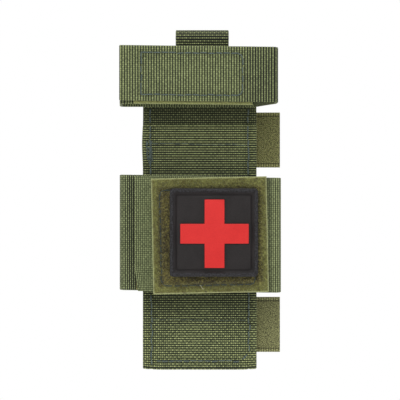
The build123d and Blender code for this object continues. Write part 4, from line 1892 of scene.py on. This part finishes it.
@dataclass
class LoopField:
    """The square of loop pile on the middle flap, with its sewn box.

    Attributes:
        flap_bend: Unevenness of the flap that it is sewn to.
        tilt: How far the square is turned to the left.
        sewn_left: Distance of the box from the left edge.
        sewn_right: From the right edge.
        sewn_low: From the lower edge.
        sewn_high: From the upper edge.
        press: Depth and reach of the box's seams.
        loops: Number of loose loops on the pile.
    """

    flap_bend: Flex
    tilt: float = math.radians(1.2)
    sewn_left: float = 3.6 * MM
    sewn_right: float = 5.6 * MM
    sewn_low: float = 3.5 * MM
    sewn_high: float = 5.2 * MM
    press: tuple[float, float] = (0.75 * MM, 0.7 * MM)
    loops: int = 4200

    def _middle(self) -> tuple[float, float, float]:
        """Measure the square.

        Returns:
            X and Z of its middle, and half its side.
        """
        low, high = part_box("loop_field")
        cover = math.cos(self.tilt) + math.sin(self.tilt)
        return (low.x + high.x) / 2, (low.z + high.z) / 2, (high.x - low.x) / 2 / cover

    def _tilted(self, points: Array) -> Array:
        """Tilt points about the middle of the square.

        Args:
            points: The points.

        Returns:
            The tilted points.
        """
        x0, z0, _ = self._middle()
        x, z = points[..., 0] - x0, points[..., 2] - z0
        moved = points.copy()
        moved[..., 0] = x0 + x * math.cos(self.tilt) - z * math.sin(self.tilt)
        moved[..., 2] = z0 + x * math.sin(self.tilt) + z * math.cos(self.tilt)
        return moved

    def _ripple(self, points: Array) -> Array:
        """Follow the flap's ripple."""
        out = self.flap_bend.sway * self.flap_bend.ripple(points[..., 0], points[..., 2])
        return np.stack([points[..., 0], points[..., 1] + out, points[..., 2]], axis=-1)

    def _turn(self, points: Array) -> Array:
        """Tilt the square and follow the flap's ripple."""
        return self._ripple(self._tilted(points))

    def _corners(self) -> list[tuple[Array, Array]]:
        """Thread across each corner of the sewn box, which the straight rows leave open.

        Returns:
            Ends of each stitch.
        """
        x0, z0, half = self._middle()
        left, right = x0 - half + self.sewn_left, x0 + half - self.sewn_right
        low, high = z0 - half + self.sewn_low, z0 + half - self.sewn_high
        level = float(np.mean([p.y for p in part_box("loop_field_stitching")]))
        gap, cut = 2.3 * MM, 0.7 * MM
        pairs = []
        for x, inward in ((left, 1), (right, -1)):
            for z, upward in ((low, 1), (high, -1)):
                a = (x, level, z + upward * gap)
                b = (x + inward * cut, level, z + upward * cut)
                c = (x + inward * gap, level, z)
                pairs += [(a, b), (b, c)]
        return [tuple(self._tilted(np.array([p, q]))) for p, q in pairs]

    def dress(self) -> None:
        """Grow the pile, sew it down and tie it to the frame."""
        x0, z0, half = self._middle()
        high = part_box("loop_field")[1]
        path = Path([(x0 + half, high.y), (x0 - half, high.y)], [])
        ribbon = Ribbon(path, Across.UP, z0 - half, z0 + half, self._turn)
        low_v, high_v = self.sewn_low - half, half - self.sewn_high
        near, far = self.sewn_right, 2 * half - self.sewn_left
        seams = box_seams((near, far), (low_v, high_v), *self.press)
        # Box of the pile's painted shade round the patch: the sewn box, reaching 2 mm further at the right and
        # starting 1 mm higher.
        box = (near - 2.0 * MM, far, low_v + 1.0 * MM, high_v)
        pile = Pile(ribbon, 0.55 * MM, 1.15 * MM, 0.45 * MM, seams, 0.33 * MM, 41, 0.13 * MM, box)
        settle(pile.build("loop_field_pile", LOOPS.material()), "loop_field")
        settle(pile.fibres("loop_field_loops", LOOPS.material(), self.loops), "loop_field", detail=True)
        corners = self._corners()
        # The box's thread is the darker copy, painted shade in the pile.
        Stitching("loop_field_stitching", Side.FRONT, self._ripple, 0.23 * MM, 42, SHADED_THREAD, corners).build()
        self._loose_end()

    def _loose_end(self) -> None:
        """Leave a short curl of pale thread near the lower edge of the pile."""
        x0, z0, half = self._middle()
        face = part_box("loop_field")[0].y
        turns = np.linspace(0, 1, 16)
        line = np.stack([
            x0 - 4.4 * MM + 2.0 * MM * turns,
            face - 0.25 * MM * np.sin(turns * math.pi),
            z0 - half + 3.3 * MM - 1.5 * MM * turns + 0.35 * MM * np.sin(turns * 7),
        ], axis=-1)
        maker = MeshMaker()
        add_tube(maker, line, 0.1 * MM)
        settle(maker.build("loose_thread", PALE_THREAD.material()), "loop_field_stitching", detail=True)


QUARTERS = np.array([[1, 1], [-1, 1], [-1, -1], [1, -1]])
# The patch's rim and groove: in from the edge, down and corner radius, the groove's by its own width
RIM_SLOPE = ((1.1, 0.02), (1.35, 0.12), (1.55, 0.3), (1.75, 0.52), (2.0, 0.72), (2.3, 0.9))
GROOVE_SLOPE = ((0.15, 0.75, 0.6), (0.45, 1.0, 0.55), (0.85, 0.8, 0.5))


def skin(name: str, outlines: list[Array], levels: list[float], finish: Finish, **values: Array) -> Piece:
    """Skin a stack of outlines.

    Args:
        name: Name of the piece.
        outlines: Points of each outline in X and Z, from the back.
        levels: Y of each outline.
        finish: Its finish.
        **values: One number per point, by name.

    Returns:
        The closed piece.
    """
    count = len(outlines[0])
    points = [np.stack([o[:, 0], np.full(count, y), o[:, 1]], axis=-1) for o, y in zip(outlines, levels)]
    faces = grid_faces(len(outlines), count, True)
    faces.append(list(range(count))[::-1])
    faces.append([(len(outlines) - 1) * count + i for i in range(count)])
    maker = MeshMaker()
    maker.add(np.concatenate(points), faces, **values)
    return maker.build(name, finish.material())


@dataclass
class Patch:
    """The soft rubber patch with its rim, groove, raised cross and hook backing.

    Attributes:
        rim: Width of the rim.
        round_rim: Radius of the rim's outer edge.
        groove: Width and depth of the groove inside the rim.
        corner: Radius of the patch's corners.
        field_corner: Radius of the field's corners.
        field_drop: Depth of the field below the rim.
        field_edge: Width of the slope between the groove and the field.
        arm_share: Width of the cross's arms by its span.
        cross_turn: Radius of the cross's edges.
        cross_cut: How far a corner of the cross is cut, by that radius.
        corner_points: Places round a corner of the patch.
        side_points: Places along a side of it.
    """

    rim: float = 2.5 * MM
    round_rim: float = 0.7 * MM
    groove: float = 0.5 * MM
    corner: float = 1.5 * MM
    field_corner: float = 0.5 * MM
    field_drop: float = 0.7 * MM
    field_edge: float = 0.12 * MM
    arm_share: float = 8.4 / 29.0
    cross_turn: float = 0.22 * MM
    cross_cut: float = 0.29
    corner_points: int = 8
    side_points: int = 14

    def _outline(self, half: float, corner: float) -> Array:
        """Draw a square with rounded corners.

        Args:
            half: Half its side.
            corner: Radius of its corners.

        Returns:
            Points round it, about its middle.
        """
        points = []
        for quarter in range(4):
            first, last = math.pi / 2 * quarter, math.pi / 2 * (quarter + 1)
            x, z = (half - corner) * QUARTERS[quarter]
            for angle in np.linspace(first, last, self.corner_points):
                points.append((x + corner * math.cos(angle), z + corner * math.sin(angle)))
            x, z = (half - corner) * QUARTERS[(quarter + 1) % 4]
            a = np.array(points[-1])
            b = np.array([x + corner * math.cos(last), z + corner * math.sin(last)])
            points.extend(tuple(a + (b - a) * k / self.side_points) for k in range(1, self.side_points))
        return np.array(points)

    def base(self) -> Piece:
        """Mould the base: rounded rim, groove and flat field.

        Returns:
            The base.
        """
        low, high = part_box("patch_base")
        half = (high.x - low.x) / 2
        face, floor = low.y, low.y + self.field_drop
        back = ((0.5, 0.0), (0.15, 0.1), (0.0, 0.5))
        rings = [(half - into * MM, self.corner, high.y - rise * MM) for into, rise in back]
        soft = self.round_rim
        for angle in np.radians(np.linspace(0, 90, 7)):
            inward, down = soft * (1 - math.cos(angle)), soft * (1 - math.sin(angle))
            rings.append((half - inward, self.corner, face + down))
        for into, sink in RIM_SLOPE:
            corner = max(self.corner - into * 0.4 * MM, 0.6 * MM)
            rings.append((half - into * MM, corner, face + sink * MM))
        inner, last = half - self.rim, half - self.rim - self.groove
        for into, sink, corner in GROOVE_SLOPE:
            rings.append((inner - self.groove * into, corner * MM, floor + self.groove * sink))
        rings.append((last, self.field_corner, floor + self.field_edge))
        rings.append((last - self.field_edge, self.field_corner, floor))
        rings.append((inner - 1.2 * MM, self.field_corner, floor))
        centre = np.array([(low.x + high.x) / 2, (low.z + high.z) / 2])
        outlines = [centre + self._outline(size, corner) for size, corner, _ in rings]
        into = np.repeat([half - size for size, _, _ in rings], len(outlines[0]))
        sink = np.repeat([level - face for _, _, level in rings], len(outlines[0]))
        rim = smooth(into, 2.0 * MM, 1.3 * MM) * smooth(sink, 1.2 * MM, 0.4 * MM)
        levels = [level for _, _, level in rings]
        return skin("patch_base_rubber", outlines, levels, BLACK_RUBBER, rim=rim)

    def _cross_outline(self, arm: float, span: float) -> Array:
        """Draw the cross.

        Args:
            arm: Half the width of an arm.
            span: Half the span.

        Returns:
            Its corners, each cut twice, about its middle.
        """
        corners = [(arm, arm), (arm, span), (-arm, span), (-arm, arm), (-span, arm), (-span, -arm)]
        corners += [(-x, -z) for x, z in corners]
        points = []
        for i, corner in enumerate(corners):
            here, before, after = (np.array(c) for c in (corner, corners[i - 1], corners[(i + 1) % 12]))
            to_before = (before - here) / np.linalg.norm(before - here) * self.cross_turn
            to_after = (after - here) / np.linalg.norm(after - here) * self.cross_turn
            points += [here + to_before, here + (to_before + to_after) * self.cross_cut, here + to_after]
        return np.array(points)

    def cross(self) -> Piece:
        """Mould the raised cross with softly rounded edges.

        Returns:
            The cross.
        """
        low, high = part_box("patch_cross")
        centre = np.array([(low.x + high.x) / 2, (low.z + high.z) / 2])
        span = (high.x - low.x) / 2
        arm, turn = span * self.arm_share, self.cross_turn
        steps = [(0.0, high.y), (0.0, low.y + 0.25 * MM)]
        for angle in np.radians(np.linspace(20, 90, 5)):
            steps.append((turn * (1 - math.cos(angle)), low.y + turn * (1 - math.sin(angle))))
        outlines = [centre + self._cross_outline(arm - inset, span - inset) for inset, _ in steps]
        return skin("patch_cross_rubber", outlines, [level for _, level in steps], RED_RUBBER)

    def dress(self) -> None:
        """Make the patch's pieces and tie them to the frame."""
        settle(self.base(), "patch_base")
        settle(self.cross(), "patch_cross")
        ribbon = flat_ribbon("patch_hook_backing", Side.REAR, None, TAPE_SINK)
        tape = HookTape(ribbon, seed=51, selvedge=0.6 * MM, hook=MESHED_HOOK)
        base, bristles = tape.build("patch_backing", BLACK_HOOK_BASE.material(), BLACK_NYLON.material())
        settle(base, "patch_hook_backing")
        settle(bristles, "patch_hook_backing", detail=True)


@dataclass
class RearStrap:
    """One rear strap: hook tape sewn at its root, bowed over the tunnel, with a free pull end.

    Attributes:
        name: upper or lower.
        seed: Draw of its unevenness.
        finish: Finish of its tape.
        tunnel: Places along X where its flat crest starts and ends.
        landing: Place along X where it comes down on the loop tape.
        hinge_flat: Length of tape that lies flat beyond the hinge.
        radii: Radius of each bend, from the root.
        bend_run: How far the bend at the root reaches beyond the hinge; not used.
        lift: Height of the strap over the loop tape.
        ends: Lengths without hooks at its root and its end.
    """

    name: str
    seed: int
    finish: Finish = HOOK_BASE
    tunnel: tuple[float, float] = (-14.5 * MM, 11.5 * MM)
    landing: float = 16.4 * MM
    hinge_flat: float = 0.9 * MM
    radii: tuple[float, ...] = (4 * MM, 2 * MM, 2.4 * MM, 2.4 * MM, 3 * MM)
    bend_run: float = 4.0 * MM
    lift: float = 0.3 * MM
    ends: tuple[float, float] = (6.5 * MM, 0.4 * MM)

    def node(self, part: str) -> str:
        """Name of one of the strap's CAD nodes."""
        return f"rear_{self.name}_{part}"

    def dress(self) -> None:
        """Make the strap and the loop tape that it closes on."""
        root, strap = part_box(self.node("root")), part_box(self.node("strap"))
        half = (root[1].y - root[0].y) / 2
        hinge = joint(self.node("strap") + "_hinge")["pos_m"]
        crest = strap[1].y - half
        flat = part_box(self.node("loop_tape"))[1].y + self.lift + half
        points = [
            (root[0].x, root[0].y + half),
            (root[1].x, root[0].y + half),
            (hinge[0] + self.hinge_flat, hinge[1]),
            (self.tunnel[0], crest),
            (self.tunnel[1], crest),
            (self.landing, flat),
            (strap[1].x, flat),
        ]
        bend = Flex(sway=0.07 * MM, seed=self.seed)
        ribbon = Ribbon(Path(points, self.radii), Across.UP, root[0].z, root[1].z, bend)
        tape = HookTape(ribbon, 0.7 * MM, 0.25 * MM, -1.0, hook=0.48 * MM, seed=self.seed, ends=self.ends)
        base, bristles = tape.build(self.node("tape"), self.finish.material(), HOOK_NYLON.material())
        for piece in (base, bristles):
            self.node("strap")
            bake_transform(piece)
        settle(base, self.node("strap"), self.node("root"), ride=False)
        settle(bristles, self.node("strap"), ride=False, detail=True)
        loops = flat_ribbon(self.node("loop_tape"), Side.REAR)
        pile = Pile(loops, 0.4 * MM, 0.6 * MM, 0.7 * MM, seed=self.seed + 1)
        settle(pile.build(self.node("loops"), LOOPS.material()), self.node("loop_tape"))


LAMPS = {  # place, size in metres and power in watts
    "key": ((-0.1, -0.78, 0.36), 0.42, 3.95),
    "top": ((0.0, -0.12, 0.75), 0.5, 3.8),
    "left": ((-0.66, -0.3, 0.1), 0.3, 1.3),
    "right": ((0.66, -0.3, 0.1), 0.3, 1.3),
    "back": ((0.2, 0.74, 0.34), 0.5, 3.4),
}


@dataclass
class Studio:
    """Pale floor, soft light and the camera.

    Attributes:
        distance: From the camera to the panel's front.
        view_width: Width of the view at the panel.
        floor_drop: Depth of the floor below the carrier's middle.
        floor_reach: Half the side of the floor.
        fill: Strength of the light that comes from all round.
        sensor: Width of the camera's sensor, in millimetres.
    """

    distance: float = 0.480
    view_width: float = 0.17984
    floor_drop: float = 0.24
    floor_reach: float = 0.62
    fill: float = 0.36
    sensor: float = 36.0

    @staticmethod
    def clear() -> None:
        """Take away the objects that an empty file starts with."""
        for name in ("Cube", "Light", "Camera"):
            if name in bpy.data.objects:
                bpy.data.objects.remove(bpy.data.objects[name])

    def camera(self) -> None:
        """Stand the camera level with the middle of the carrier."""
        data = bpy.data.cameras.new("camera")
        data.sensor_width = self.sensor
        data.lens = self.sensor * self.distance / self.view_width
        data.clip_start, data.clip_end = 0.01, 20.0
        camera = bpy.data.objects.new("camera", data)
        camera.location = (0.0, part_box("back_panel")[0].y - self.distance, 0.0)
        camera.rotation_euler = (math.pi / 2, 0.0, 0.0)
        bpy.context.scene.collection.objects.link(camera)
        bpy.context.scene.camera = camera
        LOG.info("camera: lens %.1f mm", data.lens)

    def light(self) -> None:
        """Hang the soft lamps in a white surround that gives weak fill."""
        world = bpy.data.worlds.new("studio")
        world.use_nodes = True
        nodes, links = world.node_tree.nodes, world.node_tree.links
        fill = nodes["Background"]
        fill.inputs["Color"].default_value = WHITE
        fill.inputs["Strength"].default_value = self.fill
        white = nodes.new("ShaderNodeBackground")
        white.inputs["Color"].default_value = WHITE
        mix = nodes.new("ShaderNodeMixShader")
        links.new(nodes.new("ShaderNodeLightPath").outputs["Is Camera Ray"], mix.inputs[0])
        links.new(fill.outputs[0], mix.inputs[1])
        links.new(white.outputs[0], mix.inputs[2])
        links.new(mix.outputs[0], nodes["World Output"].inputs["Surface"])
        bpy.context.scene.world = world
        bpy.context.scene.view_settings.view_transform = "Standard"
        for name, lamp in LAMPS.items():
            self._lamp(name, *lamp)

    @staticmethod
    def _lamp(name: str, at: tuple[float, float, float], size: float, power: float) -> None:
        """Hang one soft lamp that looks at the carrier.

        Args:
            name: Name of the lamp.
            at: Its place.
            size: Side of its square.
            power: Its power in watts.
        """
        data = bpy.data.lights.new(name, "AREA")
        data.size, data.energy = size, power
        lamp = bpy.data.objects.new(name, data)
        lamp.location = at
        away = np.array(at) / np.linalg.norm(at)
        lamp.rotation_euler = (math.acos(away[2]), 0.0, math.atan2(away[0], -away[1]))
        bpy.context.scene.collection.objects.link(lamp)

    def floor(self) -> None:
        """Lay the pale floor well below the carrier."""
        corners = [(-1, -1), (1, -1), (1, 1), (-1, 1)]
        corners = [(x * self.floor_reach, y * self.floor_reach, -self.floor_drop) for x, y in corners]
        mesh = bpy.data.meshes.new("floor")
        mesh.from_pydata(corners, [], [(0, 1, 2, 3)])
        mesh.materials.append(FloorFinish("pale_floor").material())
        floor = bpy.data.objects.new("floor", mesh)
        bpy.context.scene.collection.objects.link(floor)


def main() -> None:
    """Build the carrier, part by part, in its studio."""
    logging.basicConfig(level=logging.INFO, format="%(name)s: %(message)s")
    studio = Studio()
    studio.clear()
    studio.camera()
    BackPanel().dress()
    TopLoop().dress()
    box_seam = (-24.9 * MM, 18.1 * MM, 44.5 * MM, 62.4 * MM)
    upper = Band(
        "upper", corner=2.0 * MM, rib=1.13 * MM, finish=OLIVE, tilt=0.0115, seed=61, lean=1.7 * MM,
        drop=1.1 * MM, parted=[(26.5 * MM, 8.0 * MM, 0.6)], tape_drop=0.45 * MM, flap_seams=[box_seam],
    )
    upper.dress()
    upper.sew_box(box_seam)
    middle = Band(
        "middle", corner=2.5 * MM, rib=0.87 * MM, finish=OLIVE_FINE, tilt=0.0122, seed=71, lean=0.7 * MM,
        parted=[(29.3 * MM, 1.4 * MM, 0.9)], open_left=[(-29.6 * MM, 2.0 * MM, 1.0)],
        # The lightened stretches at the band's two turned ends are painted light on sides that face away from
        # the key lamp.
        lightened=[(-32.5 * MM, 3.0 * MM, 0.3), (32.8 * MM, 2.8 * MM, 0.5)], stretching=0.5,
        clipped=(1.3 * MM, 9.5 * MM), narrower=0.6 * MM, flap_finish=OLIVE_FLAP,
    )
    middle.dress()
    LoopField(middle.flap_bend).dress()
    Patch().dress()
    RearStrap("upper", 81).dress()
    # The lower strap's tape is the lighter copy, painted light.
    RearStrap("lower", 91, LIT_HOOK_BASE).dress()
    Stitching("rear_root_stitching", Side.REAR, seed=95).build()
    Stitching("rear_loop_tape_stitching", Side.REAR, seed=96).build()
    studio.light()
    studio.floor()


if __name__ == "__main__":
    main()
